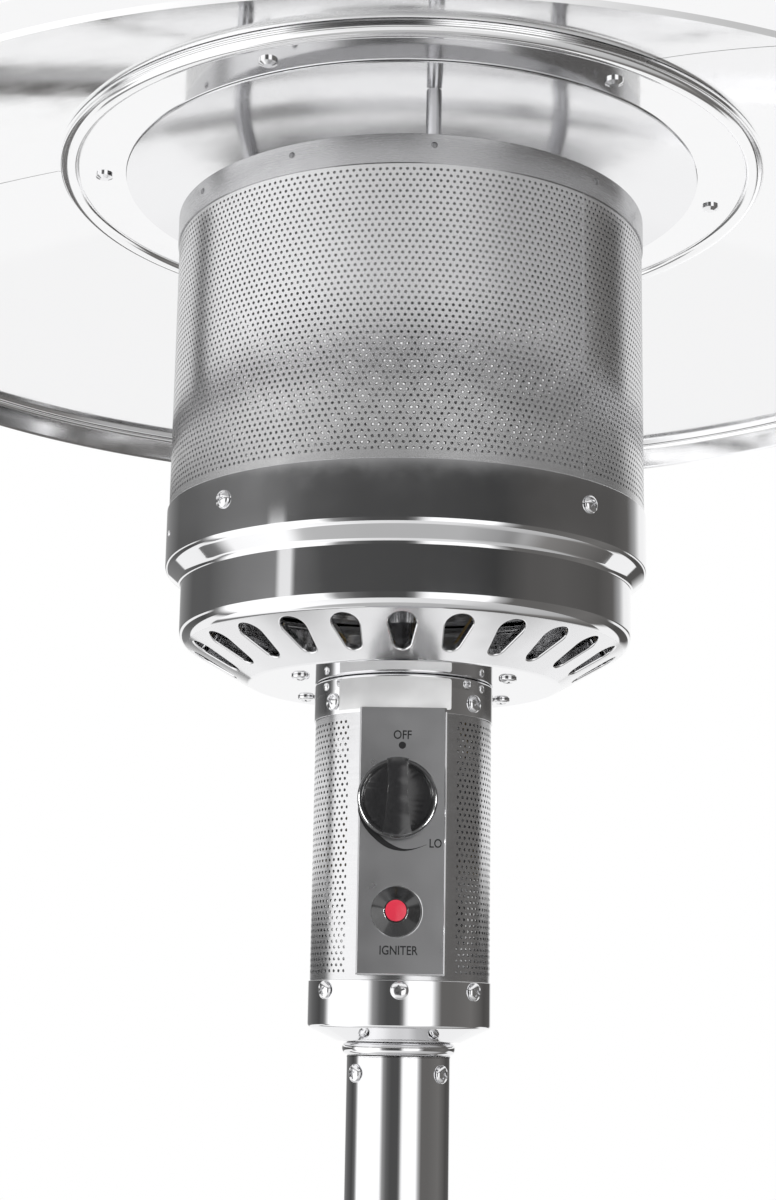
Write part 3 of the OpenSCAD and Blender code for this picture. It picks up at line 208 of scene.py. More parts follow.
ROLLED = (60, 60, 2600)
M = {
    "polished": metal("polished_steel", (0.86, 0.86, 0.87), 0.05, 0.02, waves=0.00004),
    "brushed": metal("brushed_steel", (0.84, 0.84, 0.85), 0.13, 0.03, blotch=0.03),
    "satin": metal("satin_steel", (0.76, 0.76, 0.765), 0.21, 0.05, ROLLED, 0.000005, 0.00006, 0.06),
    "band": metal("band_steel", (0.60, 0.60, 0.61), 0.24, 0.06, ROLLED, 0.000006, blotch=0.16),
    "rivet": metal("rivet_steel", (0.34, 0.34, 0.35), 0.34, 0.06, blotch=0.1),
    "panel": metal("panel_steel", (0.55, 0.55, 0.56), 0.30, 0.03, blotch=0.03),
    "guard": metal("guard_steel", (0.74, 0.74, 0.75), 0.20, 0.05, (50, 50, 1500), 0.000005),
    "cover": metal("cover_steel", (0.46, 0.46, 0.47), 0.30, 0.06, (40, 40, 1800), 0.000006, 0.00012, 0.05),
    "reflector": metal("reflector_aluminium", (0.93, 0.93, 0.935), 0.08, 0.03, waves=0.00003),
    "disc": metal("disc_aluminium", (0.88, 0.88, 0.89), 0.13, 0.02, waves=0.00002),
    "zinc": metal("zinc_steel", (0.72, 0.72, 0.74), 0.22, 0.08, blotch=0.12),
    "screw": metal("screw_steel", (0.88, 0.88, 0.89), 0.12, 0.05),
    "brass": metal("brass", (0.72, 0.53, 0.25), 0.24, 0.06, blotch=0.1),
    "cast_aluminium": metal("cast_aluminium", (0.62, 0.63, 0.64), 0.42, 0.06, blotch=0.1),
    "black": plastic("black_plastic", (0.022, 0.022, 0.023), 0.36, 600, 0.00002),
    "gloss_black": plastic("gloss_black_plastic", (0.018, 0.018, 0.019), 0.20, 400, 0.000003, coat=0.8),
    "red": plastic("red_plastic", (0.70, 0.035, 0.07), 0.22, 300, 0.000004, coat=0.3),
    "white_ceramic": plastic("white_ceramic", (0.86, 0.86, 0.84), 0.2, 200, 0.000005, coat=0.5),
    "label": plastic("label_film", (0.97, 0.97, 0.97), 0.34, 500, 0.000002),
    "ink": plastic("dark_ink", (0.012, 0.012, 0.013), 0.45, 900, 0.000002),
    "rubber": plastic("tyre_rubber", (0.024, 0.024, 0.024), 0.72, 900, 0.00006, specular=0.3),
    "iron": cast_iron(),
}
# the part's slot for each material that a piece of this script has
DRESS = {
    "polished": "burner_bowl lower_collar upper_collar head_neck lower_post upper_post",
    "satin": "emitter_screen emitter_band emitter_cap burner_floor base_plate",
    "guard": "control_guard",
    "panel": "control_panel",
    "cover": "tank_housing tank_lid",
    "reflector": "reflector_panel_1 reflector_panel_2 reflector_panel_3 reflector_plate",
    "disc": "inner_disc",
    "zinc": "frame_bolts wheel_bracket wheel_axle support_strap_left support_strap_right support_strap_rear "
            "post_socket post_sleeve valve_bracket mixer_tube pilot_burner wing_nuts reflector_studs",
    "screw": "post_screws lid_screws collar_screws bowl_screws plate_screws",
    "iron": "base_weight burner_head",
    "black": "igniter_body wheel_left_hub wheel_right_hub axle_caps tilt_switch",
    "gloss_black": "knob igniter_bezel",
    "red": "igniter_button",
    "rubber": "wheel_left_tyre wheel_right_tyre",
    "brass": "valve_plug valve_stem inlet_fitting injector thermocouple pilot_tube",
    "cast_aluminium": "valve_body main_gas_tube",
    "white_ceramic": "spark_electrode",
}
for key, names in DRESS.items():
    for n in names.split():
        nodes[n].data.materials.clear()
        nodes[n].data.materials.append(M[key])


# Mesh helpers
def piece(name, verts, faces, mat, smooth=35, check=True):
    """A piece that rides with the stand. Its edges over the smooth angle, in degrees, are sharp."""
    me = bpy.data.meshes.new(name)
    me.from_pydata([tuple(v) for v in verts], [], [tuple(f) for f in faces])
    if check:
        me.validate()
    me.materials.append(M[mat])
    if smooth:
        me.shade_smooth()
        me.set_sharp_from_angle(angle=math.radians(smooth))
    o = bpy.data.objects.new(name, me)
    scene.collection.objects.link(o)
    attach(o, "stand")
    return o


def exact_piece(name, verts, faces, normals, mat):
    """A piece whose vertices have their exact normals."""
    o = piece(name, verts, faces, mat, smooth=0, check=False)
    o.data.shade_smooth()
    o.data.normals_split_custom_set_from_vertices([tuple(n) for n in normals])
    return o


def quads(rows, points, base=0, closed=True, flip=False):
    """Faces between neighbouring rows of points, back to the first row if closed."""
    faces = []
    for i in range(rows if closed else rows - 1):
        a, b = base + i * points, base + (i + 1) % rows * points
        for k in range(points - 1):
            f = (a + k, b + k, b + k + 1, a + k + 1)
            faces.append((f[0], f[3], f[2], f[1]) if flip else f)
    return faces


def sleeve(rings, points, base=0):
    """Faces round a tube through rings of points, with both its ends."""
    faces = []
    last = base + (rings - 1) * points
    for a in range(base, last, points):
        for c in range(points):
            d = (c + 1) % points
            faces.append((a + c, a + d, a + points + d, a + points + c))
    return faces + [tuple(range(base + points - 1, base - 1, -1)), tuple(range(last, last + points))]


def weld(o, distance, face_out=True):
    """Joins vertices closer than a distance in metres, and turns the faces outwards."""
    bm = bmesh.new()
    bm.from_mesh(o.data)
    bmesh.ops.remove_doubles(bm, verts=bm.verts, dist=distance)
    if face_out:
        bmesh.ops.recalc_face_normals(bm, faces=bm.faces)
    bm.to_mesh(o.data)
    bm.free()


def around(a, r, z):
    """A vector at an angle from the front towards +X, in degrees."""
    t = math.radians(a)
    return Vector((r * math.sin(t), -r * math.cos(t), z))


def line(p, q):
    """A straight stretch of a profile, with its outward normal: (radius, z, normal radius, normal z)."""
    dr, dz = q[0] - p[0], q[1] - p[1]
    n = math.hypot(dr, dz)
    return [(*p, dz / n, -dr / n), (*q, dz / n, -dr / n)]


def bow(centre, r, a0, a1, steps=8):
    """An arc of a profile. It swells outwards when its angle grows, and is hollow when it falls."""
    sign = 1 if a1 > a0 else -1
    out = []
    for k in range(steps + 1):
        t = math.radians(a0 + (a1 - a0) * k / steps)
        c, s = math.cos(t), math.sin(t)
        out.append((centre[0] + r * c, centre[1] + r * s, sign * c, sign * s))
    return out


AXIS = Matrix.Translation((0, 0, H * MM))


def lathe(name, stretches, mat, segments=256, a0=0.0, a1=360.0, replaces=None, axis=AXIS):
    """Turns stretches of a profile round an axis, the heater's own unless another is given."""
    closed = a1 - a0 >= 359.999
    rows = segments if closed else segments + 1
    facing = axis.to_3x3()
    verts, faces, normals = [], [], []
    for points in stretches:
        faces += quads(rows, len(points), len(verts), closed)
        for i in range(rows):
            a = a0 + (a1 - a0) * i / segments
            for r, z, nr, nz in points:
                verts.append(axis @ around(a, r * MM, z * MM))
                normals.append(facing @ around(a, nr, nz))
    o = exact_piece(name, verts, faces, normals, mat)
    if replaces:
        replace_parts(o, replaces)
    return o


def outward(a, r, z, turn=0.0):
    """A frame on a cylinder round the heater's axis: its z axis points outwards."""
    n, side = around(a, 1, 0), around(a + 90, 1, 0)
    m = Matrix(((side.x, 0, n.x, n.x * r * MM), (side.y, 0, n.y, n.y * r * MM), (0, 1, 0, (H + z) * MM),
                (0, 0, 0, 1)))
    return m @ Matrix.Rotation(math.radians(turn), 4, "Z")


def downward(a, r, z, turn=0.0):
    """A frame whose z axis points down, on a circle round the heater's axis."""
    p = Matrix.Translation(around(a, r * MM, (H + z) * MM))
    return p @ Matrix.Rotation(math.pi, 4, "X") @ Matrix.Rotation(math.radians(turn), 4, "Z")


def forward(x, z):
    """A frame whose z axis points forwards from the post's axis, through x and z."""
    return Matrix.Translation((x * MM, 0, (H + z) * MM)) @ Matrix.Rotation(math.radians(90), 4, "X")


# The stage. Polished steel shows its surroundings, so the room has set levels by the angle from the front
# towards +X: the floor near the base and farther out, and the wall of cards in zones by height.
# the floor's levels as steel mirrors it, near the base and farther out: near the base they are lower at the
# front, a painted shadow of the heater
FLOOR_NEAR = [
    (-180, 0.97), (-141, 0.97), (-134, 0.15), (-127, 0.15), (-121, 1.1), (-112, 1.1), (-104, 0.68),
    (-90, 0.54), (-60, 0.50), (70, 0.50), (90, 0.36), (104, 0.14), (132, 0.11), (141, 0.97), (180, 0.97)]
FLOOR_FAR = [
    (-180, 0.97), (-141, 0.97), (-134, 0.15), (-127, 0.20), (-121, 1.1), (-112, 1.15), (-77, 1.25),
    (-48, 1.12), (-23, 0.88), (0, 0.82), (27, 0.84), (54, 0.58), (83, 0.52), (99, 0.46), (108, 0.24),
    (132, 0.11), (141, 0.97), (180, 0.97)]
SOFT_BOXES = [
    (-97, 1.25), (-40, 1.25), (-33, 0.32), (-24, 0.13), (-15, 0.08), (0, 0.08), (4, 0.2), (9, 1.0),
    (13, 1.25), (40, 1.25), (46, 0.5), (53, 0.14), (70, 0.14), (100, 0.17)]
LOW = [
    (-180, 1.0), (-168, 1.0), (-160, 0.24), (-138, 0.13), (-118, 0.07), (-108, 0.14), (-104, 0.34),
    *SOFT_BOXES, (118, 0.12), (130, 0.08), (152, 0.1), (162, 1.0), (180, 1.0)]
OPEN = [
    (-180, 1.0), (-114, 1.0), (-107, 0.20), (-104, 0.34), *SOFT_BOXES, (118, 0.14), (126, 1.0), (180, 1.0)]
MIDDLE = [
    (-180, 1.0), (-168, 0.45), (-158, 0.28), (-134, 0.11), (-114, 0.11), (-88, 0.20), (-65.5, 0.24),
    (-64, 0.88), (-57.5, 0.92), (-55.5, 0.13), (-50, 0.12), (-40, 0.075), (20, 0.065), (44, 0.05), (62, 0.10),
    (82, 0.11), (110, 0.09), (126, 0.12), (135, 0.40), (143, 0.95), (165, 1.0), (180, 0.9)]
HIGH = [
    (-180, 1.0), (-168, 0.45), (-158, 0.28), (-134, 0.12), (-114, 0.13), (-88, 0.17), (-72, 0.19),
    (-58, 0.15), (-44, 0.09), (-20, 0.072), (20, 0.065), (44, 0.05), (62, 0.08), (82, 0.09), (110, 0.09),
    (126, 0.12), (135, 0.40), (143, 0.95), (165, 1.0), (180, 0.9)]
TOP = [
    (-180, 1.0), (-150, 0.75), (-111, 0.80), (-77, 1.10), (-48, 0.95), (-23, 0.70), (0, 0.60), (27, 0.66),
    (54, 0.42), (83, 0.35), (118, 0.33), (132, 1.0), (180, 1.0)]
# the wall's ends, and the heights at which its zones begin over the lowest one, in metres
WALL_FOOT, WALL_TOP, WALL_R = 0.02, 3.14, 3.3
ZONES = ((1.0, LOW), (1.92, OPEN), (2.28, LOW), (2.46, MIDDLE), (2.70, HIGH), (2.845, TOP))
ZONE_BLUR = 0.012
# distances in metres between which the floor turns from a matt surface into plain light, and between which
# its near levels give way to the far ones
FLOOR_FADE, FLOOR_SPLIT = (1.2, 6.0), (0.95, 1.2)
FLOOR_DROP = 0.0006
FILL_LEVEL = 0.55
# dim levels on the right are a little warm
DIM, WARM_FROM, WARMTH = 0.3, 50, 0.94


def zone(t, levels, turn):
    """Levels by the angle, from a turn that goes from 0 to 1."""
    ramp = t.add("ShaderNodeValToRGB", {"Fac": turn})
    el = ramp.color_ramp.elements
    el.remove(el[1])
    for i, (a, v) in enumerate(levels):
        e = el[0] if i == 0 else el.new((a + 180) / 360)
        e.position = (a + 180) / 360
        blue = WARMTH if v < DIM and a > WARM_FROM else 1.0
        e.color = (v, v * (1 + blue) / 2, v * blue, 1)
    return ramp.outputs["Color"]


def make_world():
    world = bpy.data.worlds.new("studio")
    scene.world = world
    t = Tree(world, "ShaderNodeOutputWorld")
    fill = t.add("ShaderNodeBackground", {"Strength": FILL_LEVEL, "Color": WHITE})
    seen = t.add("ShaderNodeBackground", {"Strength": 1.0, "Color": WHITE})
    t.shaders(t.seen(), fill.outputs[0], seen.outputs[0])


def make_floor():
    n, rings = 96, (1.0, 3.0, 8.0, 14.0)
    verts = [(0, 0, 0)]
    for r in rings:
        verts += [(r * math.cos(2 * math.pi * i / n), r * math.sin(2 * math.pi * i / n), 0) for i in range(n)]
    faces = [(0, 1 + i, 1 + (i + 1) % n) for i in range(n)]
    for k in range(len(rings) - 1):
        a, b = 1 + k * n, 1 + (k + 1) * n
        faces += [(a + i, b + i, b + (i + 1) % n, a + (i + 1) % n) for i in range(n)]
    me = bpy.data.meshes.new("floor")
    me.from_pydata(verts, [], faces)
    floor = bpy.data.objects.new("floor", me)
    floor.location = (0, 0, -FLOOR_DROP)
    scene.collection.objects.link(floor)
    mat = bpy.data.materials.new("studio_floor")
    t = Tree(mat, "ShaderNodeOutputMaterial")
    matt = t.add("ShaderNodeBsdfPrincipled", {"Base Color": (0.88, 0.88, 0.88, 1.0), "Roughness": 0.9,
                                              "Specular IOR Level": 0.1})
    coord = t.add("ShaderNodeTexCoord").outputs["Object"]
    reach = t.add("ShaderNodeVectorMath", {0: coord}, operation="LENGTH").outputs["Value"]
    mirrored = t.add("ShaderNodeLightPath").outputs["Is Glossy Ray"]
    share = t.calc("MULTIPLY", t.calc("MAXIMUM", t.rise(reach, *FLOOR_FADE), mirrored), t.seen())
    # mirrored by steel, the floor glows with its own set levels in place of its lit surface, with a painted
    # shadow of the heater near the base
    place = t.add("ShaderNodeSeparateXYZ", {0: coord}).outputs
    angle = t.calc("ARCTAN2", place["X"], t.calc("MULTIPLY", place["Y"], -1.0))
    turn = t.rise(angle, -math.pi, math.pi, "LINEAR")
    glow = t.colours(t.rise(reach, *FLOOR_SPLIT), zone(t, FLOOR_NEAR, turn), zone(t, FLOOR_FAR, turn))
    shine = t.add("ShaderNodeEmission", {"Strength": 1.0, "Color": t.colours(mirrored, WHITE, glow)})
    t.shaders(share, matt.outputs["BSDF"], shine.outputs[0])
    me.materials.append(mat)


def make_wall():
    """The studio's wall of cards, seen by reflections alone."""
    n = 144
    verts = [around(-180 + 360 * i / n, WALL_R, z) for i in range(n + 1) for z in (WALL_FOOT, WALL_TOP)]
    me = bpy.data.meshes.new("studio_wall")
    me.from_pydata(verts, [], quads(n + 1, 2, closed=False))
    uv = me.uv_layers.new(name="turn")
    for loop in me.loops:
        column, end = divmod(loop.vertex_index, 2)
        uv.data[loop.index].uv = (column / n, end)
    wall = bpy.data.objects.new("studio_wall", me)
    scene.collection.objects.link(wall)
    wall.visible_camera = False
    wall.visible_diffuse = False
    wall.visible_shadow = False
    wall.visible_transmission = False
    wall.visible_volume_scatter = False
    mat = bpy.data.materials.new("studio_cards")
    t = Tree(mat, "ShaderNodeOutputMaterial")
    place = t.add("ShaderNodeUVMap", uv_map="turn").outputs["UV"]
    split = t.add("ShaderNodeSeparateXYZ", {0: place}).outputs
    cards = zone(t, OPEN, split["X"])
    for height, levels in ZONES:
        at = (height - WALL_FOOT) / (WALL_TOP - WALL_FOOT)
        over = t.rise(split["Y"], at - ZONE_BLUR, at + ZONE_BLUR)
        cards = t.colours(over, cards, zone(t, levels, split["X"]))
    t.put(t.add("ShaderNodeEmission", {"Color": cards}).outputs[0], t.surface)
    me.materials.append(mat)


def lamp(name, place, aim, size, power, glossy=False):
    """A round area lamp: places and size in metres, power in watts."""
    data = bpy.data.lights.new(name, "AREA")
    data.shape = "DISK"
    data.size = size
    data.energy = power
    o = bpy.data.objects.new(name, data)
    o.location = place
    o.rotation_mode = "QUATERNION"
    o.rotation_quaternion = (Vector(aim) - Vector(place)).to_track_quat("-Z", "Y")
    o.visible_glossy = glossy
    scene.collection.objects.link(o)
    return o


make_world()
make_floor()
make_wall()
lamp("key", (-1.9, -2.3, 3.2), (0, 0, 1.5), 1.6, 62)
lamp("fill", (2.4, -1.6, 2.0), (0, 0, 1.4), 1.8, 26)
lamp("back", (0.6, 2.6, 2.9), (0, 0, 1.4), 1.4, 30)

# Small lamps that shine on the black moulded parts alone, for their bright edges
KNOB_AIM = (0, 0, 1.75)
moulded = bpy.data.collections.new("moulded_parts")
moulded.objects.link(nodes["knob"])
for name, place, size, power in (
        ("shine_left", (-1.3, -1.1, 1.25), 0.7, 80), ("shine_right", (1.2, -1.2, 1.2), 0.6, 80),
        ("shine_far_left", (-1.7, -1.0, 1.9), 0.5, 70), ("shine_far_right", (1.7, -1.0, 1.9), 0.4, 45)):
    shine = lamp(name, place, KNOB_AIM, size, power, glossy=True)
    shine.visible_diffuse = False
    shine.light_linking.receiver_collection = moulded

# The solids' surfaces shade smoothly, and the moulded parts have rounded edges
SHARP_FROM, ROUNDED_FROM = math.radians(32), math.radians(38)
for o in nodes.values():
    o.data.shade_smooth()
    o.data.set_sharp_from_angle(angle=SHARP_FROM)
for n, width in (("knob", 0.45), ("igniter_button", 0.5)):
    joined = nodes[n].modifiers.new("weld", "WELD")
    joined.merge_threshold = 0.00001
    rounded = nodes[n].modifiers.new("rounding", "BEVEL")
    rounded.width = width * MM
    rounded.segments = 3
    rounded.limit_method = "ANGLE"
    rounded.angle_limit = ROUNDED_FROM
    rounded.harden_normals = True


# Perforated sheet
HEXAGON = ((0, 1), (1, 0.5), (1, -0.5), (0, -1), (-1, -0.5), (-1, 0.5))


def perforated(name, mat, radius, holes, sheet, pitch, hole, node, turn=0.0, blank=0.0, parts=1, thick=0.8):
    """A sheet cylinder with staggered rows of open hexagonal holes. The heights in sheet are its ends, and
    those in holes are the ends of the rows. No hole is cut within the angle blank from the front."""
    count = round(2 * math.pi * radius / pitch)
    step = 360.0 / count
    z0, z1 = holes
    rows = int((z1 - z0) / (pitch * math.sin(math.radians(60))))
    row = (z1 - z0) / rows
    side = row / 1.5
    share = hole / (pitch / math.sqrt(3))
    per = -(-count // parts)
    for part in range(parts):
        verts, faces = [], []
        columns = range(part * per, min(count, (part + 1) * per))

        def put(a, r, z):
            verts.append(around(a + turn, r * MM, (H + z) * MM))
            return len(verts) - 1

        for j in range(rows + 1):
            zc = z0 + j * row
            for i in columns:
                ac = (i + (j % 2) / 2) * step
                corner = [(ac + step / 2 * sx, zc + side * sz) for sx, sz in HEXAGON]
                ring = [put(a, radius, z) for a, z in corner]
                if abs((ac + turn + 180) % 360 - 180) < blank:
                    faces.append(ring[::-1])
                    continue
                inner = [(ac + (a - ac) * share, zc + (z - zc) * share) for a, z in corner]
                rim = [put(a, radius, z) for a, z in inner]
                back = [put(a, radius - thick, z) for a, z in inner]
                for k in range(6):
                    m = (k + 1) % 6
                    faces.append((ring[k], rim[k], rim[m], ring[m]))
                    faces.append((rim[k], back[k], back[m], rim[m]))
        # the plain strips below and above the rows
        for edge, j, way in ((sheet[0], 0, -1), (sheet[1], rows, 1)):
            zc = z0 + j * row
            for i in columns:
                ac = (i + (j % 2) / 2) * step
                across = (ac - step / 2, ac, ac + step / 2)
                inner = [put(a, radius, zc + way * side * rise) for a, rise in zip(across, (0.5, 1, 0.5))]
                outer = [put(a, radius, edge) for a in across]
                for k in range(2):
                    f = (outer[k], outer[k + 1], inner[k + 1], inner[k])
                    faces.append(f if way < 0 else f[::-1])
        o = piece(name if parts == 1 else f"{name}_{part + 1}", verts, faces, mat, smooth=50)
        weld(o, 2e-6, face_out=False)
        o.data.set_sharp_from_angle(angle=math.radians(50))
        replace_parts(o, node)


EMITTER_PITCH, EMITTER_HOLE = ((4.0, 1.0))
perforated("emitter_mesh", "satin", 152.4, (326.5, 497.5), (287.6, 513.5), EMITTER_PITCH, EMITTER_HOLE,
           "emitter_screen", turn=37.5, parts=3)
perforated("guard_mesh", "guard", 55.4, (33.5, 183.5), (16.2, 200.5), 4.0, 1.0, "control_guard", blank=37)

# Turned sheet metal: radii, and the post's heights
POST_R, POST_WALL, COLLAR_R, STEP_R, BAND_R, CROWN_R = 31.75, 1.5, 56.4, 143.4, 153.6, 153.3
POST_FOOT, POST_JOINT, POST_TOP, JOINT_GAP = -877, -435, -16.5, 0.15
CONE_LEAN = 30.0


def tube(r, z0, z1, wall):
    """A wall that goes up, over its edge and down inside."""
    return [line((r, z0), (r, z1)), line((r, z1), (r - wall, z1)), line((r - wall, z1), (r - wall, z0))]


lathe("bowl_bands", [
    bow((STEP_R - 10, 244), 10, -90 + CONE_LEAN, 0, 14), line((STEP_R, 244), (STEP_R, 271.8)),
    bow((STEP_R + 5, 271.8), 5, 180, 130, 10), line((145.186, 275.63), (151.457, 280.9)),
    bow((BAND_R - 6, 285.49), 6, -50, 0, 10), line((BAND_R, 285.49), (BAND_R, 320.1)),
    bow((BAND_R - 0.4, 320.1), 0.4, 0, 180, 6), line((BAND_R - 0.8, 320.1), (BAND_R - 0.8, 288))],
    "polished", replaces="burner_bowl")
lathe("upper_collar_skin", [
    line((55.5, 188.5), (56.1, 188.5)), bow((COLLAR_R - 0.3, 188.8), 0.3, -90, 0, 4),
    line((COLLAR_R, 188.8), (COLLAR_R, 210.3)), bow((COLLAR_R - 1.5, 210.3), 1.5, 0, 70, 8),
    line((55.41, 211.71), (50.1, 211.9))], "polished", replaces="upper_collar")
lathe("lower_collar_skin", [
    line((31.9, -7.6), (37.4, -7.6)), bow((37.4, -5.6), 2.0, -90, -90 + 25, 5),
    line((38.245, -7.413), (54.957, 0.234)), bow((COLLAR_R - 2.5, 2.5), 2.5, -65, 0, 8),
    line((COLLAR_R, 2.5), (COLLAR_R, 27.9)), bow((COLLAR_R - 0.3, 27.9), 0.3, 0, 90, 4),
    line((56.1, 28.2), (55.5, 28.2)), line((55.5, 28.2), (55.5, 16))], "polished", replaces="lower_collar")
lathe("neck_bead", [
    line((POST_R, -17), (POST_R, -16.2)), bow((30.8, -11.8), 4, -75, 90, 20),
    line((30.8, -7.7), (30.4, -7.6))],
    "polished", replaces="head_neck")
lathe("upper_post_skin", tube(POST_R, POST_JOINT + JOINT_GAP, POST_TOP, POST_WALL), "polished",
      replaces="upper_post")
lathe("lower_post_skin", tube(POST_R, POST_FOOT, POST_JOINT - JOINT_GAP, POST_WALL), "polished",
      replaces="lower_post")
lathe("emitter_top_band", [
    line((152.5, 501.1), (153.1, 501.1)), bow((CROWN_R - 0.2, 501.3), 0.2, -90, 0, 3),
    line((CROWN_R, 501.3), (CROWN_R, 519.2)), bow((CROWN_R - 0.3, 519.2), 0.3, 0, 90, 4),
    line((153.0, 519.5), (152.5, 519.5)), line((152.5, 519.5), (152.5, 505))],
    "band", replaces="emitter_band")

# The reflector's disc, plate and panels. The disc and the plate are caps of one ball, and the plate has a
# rolled bead.
BALL_R, BALL_Z, BALL_TOP = 579.0, -0.284, 89.99
DISC_R, DISC_T = 189, 1
PLATE_Z, PLATE_T, PLATE_IN, PLATE_R, PLATE_LIFT = 548.3, 1.0, 90, 231.9, 1.3
BEAD_R, BEAD_Z, BEAD_ROUND = 225.6, 2.5, 6.5
PANEL_Z, PANEL_T, PANEL_IN, PANEL_FLAT, PANEL_END, PANEL_DROP = 549.4, 0.8, 196, 234.0, 420.6, 66
RIM_Z, RIM_R, HEM_R = 479.4, 424.6, 425.3
RIM_LEAN = 66.7


def ball_angle(r):
    return math.degrees(math.acos(r / BALL_R))


def cap(lift, inner, outer, steps, thick=0.0):
    """An arc of the ball between two angles, lifted and thickened."""
    return bow((0, BALL_Z + lift), BALL_R + thick, inner, outer, steps)


lathe("disc_dome", [
    cap(0, BALL_TOP, ball_angle(DISC_R), 40), line((DISC_R, 547), (189.33, 547.95)),
    cap(0, ball_angle(DISC_R), BALL_TOP, 40, DISC_T)], "disc", replaces="inner_disc")
lathe("plate_ring", [
    cap(PLATE_LIFT, ball_angle(PLATE_IN), ball_angle(DISC_R), 20), line((DISC_R, PLATE_Z), (219.2, PLATE_Z)),
    bow((219.2, PLATE_Z - 1.0), 1.0, 90, 30, 6), bow((BEAD_R, PLATE_Z + BEAD_Z), BEAD_ROUND, 209, 331, 24),
    bow((PLATE_R, PLATE_Z - 1.0), 1.0, 150, 90, 6), line((PLATE_R, PLATE_Z), (PLATE_R, PLATE_Z + PLATE_T)),
    line((PLATE_R, PLATE_Z + PLATE_T), (230.9, PLATE_Z + PLATE_T)),
    bow((BEAD_R, PLATE_Z + BEAD_Z), BEAD_ROUND - PLATE_T, 344.2, 195.8, 20),
    line((220.3, PLATE_Z + PLATE_T), (DISC_R, PLATE_Z + PLATE_T)),
    cap(PLATE_LIFT + PLATE_T, ball_angle(DISC_R), ball_angle(PLATE_IN), 20),
    line((PLATE_IN, 574.3), (PLATE_IN, 573.3))], "reflector", replaces="reflector_plate")


def panel_slope(lift=0.0, steps=24):
    """The panel's long slope, seen from below, or lifted by a thickness and seen from above."""
    out = []
    for k in range(steps + 1):
        share = k / steps
        drop = PANEL_DROP * share * (0.78 + 0.22 * share)
        steep = -PANEL_DROP * (0.78 + 0.44 * share) / (PANEL_END - PANEL_FLAT)
        n = math.hypot(steep, 1)
        nr, nz = steep / n, -1 / n
        r = PANEL_FLAT + (PANEL_END - PANEL_FLAT) * share
        out.append((r - nr * lift, PANEL_Z - drop - nz * lift, nr, nz))
    return [(r, z, -nr, -nz) for r, z, nr, nz in out[::-1]] if lift else out


def standing_seams(number, start, end, high=9.0, sheet=0.8):
    """The flanges that stand up at both ends of a panel."""
    verts, faces = [], []
    low, top = panel_slope(), panel_slope(high)[::-1]
    for a, side in ((start, sheet), (end, -sheet)):
        faces += sleeve(len(low), 4, len(verts))
        across = around(a + 90, side * MM, 0)
        for p, q in zip(low, top):
            foot, edge = (around(a, r * MM, (H + z) * MM) for r, z in (p[:2], q[:2]))
            verts += [foot, edge, edge + across, foot + across]
    weld(piece(f"panel_seams_{number}", verts, faces, "reflector", smooth=30), 1e-8)


for number in (1, 2, 3):
    start, end = 35.66 + 120 * (number - 1), 155.54 + 120 * (number - 1)
    lathe(f"panel_{number}", [
        line((PANEL_IN, PANEL_Z), (PANEL_FLAT, PANEL_Z)), panel_slope(),
        bow((PANEL_END, RIM_Z), RIM_R - PANEL_END, RIM_LEAN, 0, 8), line((RIM_R, RIM_Z), (RIM_R, 465.4)),
        line((RIM_R, 465.4), (422.6, 463.4)), line((422.6, 463.4), (423.17, 462.83)),
        line((423.17, 462.83), (HEM_R, 465.1)), line((HEM_R, 465.1), (HEM_R, RIM_Z)),
        bow((PANEL_END, RIM_Z), HEM_R - PANEL_END, 0, RIM_LEAN, 8), panel_slope(PANEL_T),
        line((PANEL_FLAT, PANEL_Z + PANEL_T), (PANEL_IN, PANEL_Z + PANEL_T)),
        line((PANEL_IN, PANEL_Z + PANEL_T), (PANEL_IN, PANEL_Z))],
        "reflector", 120, start, end, f"reflector_panel_{number}")
    standing_seams(number, start, end)

# The bowl's cone and its flanged vents
VENTS, VENT_TURN, VENT_POINTS = 24, -0.7, 80
WIDE_AT, WIDE_R, NARROW_AT, NARROW_R = 127.0, 9.2, 112.0, 6.2
CONE_R, CONE_Z, CONE_END = 99.4, 212.81, 138.4
LEAN = math.radians(CONE_LEAN)


def vent_outline():
    """Points and outward normals of one vent in plan, about its own axis, x across and y outwards."""
    dip = math.degrees(math.asin((WIDE_R - NARROW_R) / (WIDE_AT - NARROW_AT)))
    out = []
    half = VENT_POINTS // 2
    for r, at, start, sweep in ((WIDE_R, WIDE_AT, -dip, 180 + 2 * dip),
                                (NARROW_R, NARROW_AT, 180 + dip, 180 - 2 * dip)):
        for k in range(half + 1):
            t = math.radians(start + sweep * k / half)
            out.append((r * math.cos(t), at + r * math.sin(t), math.cos(t), math.sin(t)))
    return out


def cone_point(a, r):
    """A point on the cone's face, in millimetres over the floor."""
    return around(a, r, H + CONE_Z + (r - CONE_R) * math.tan(LEAN))


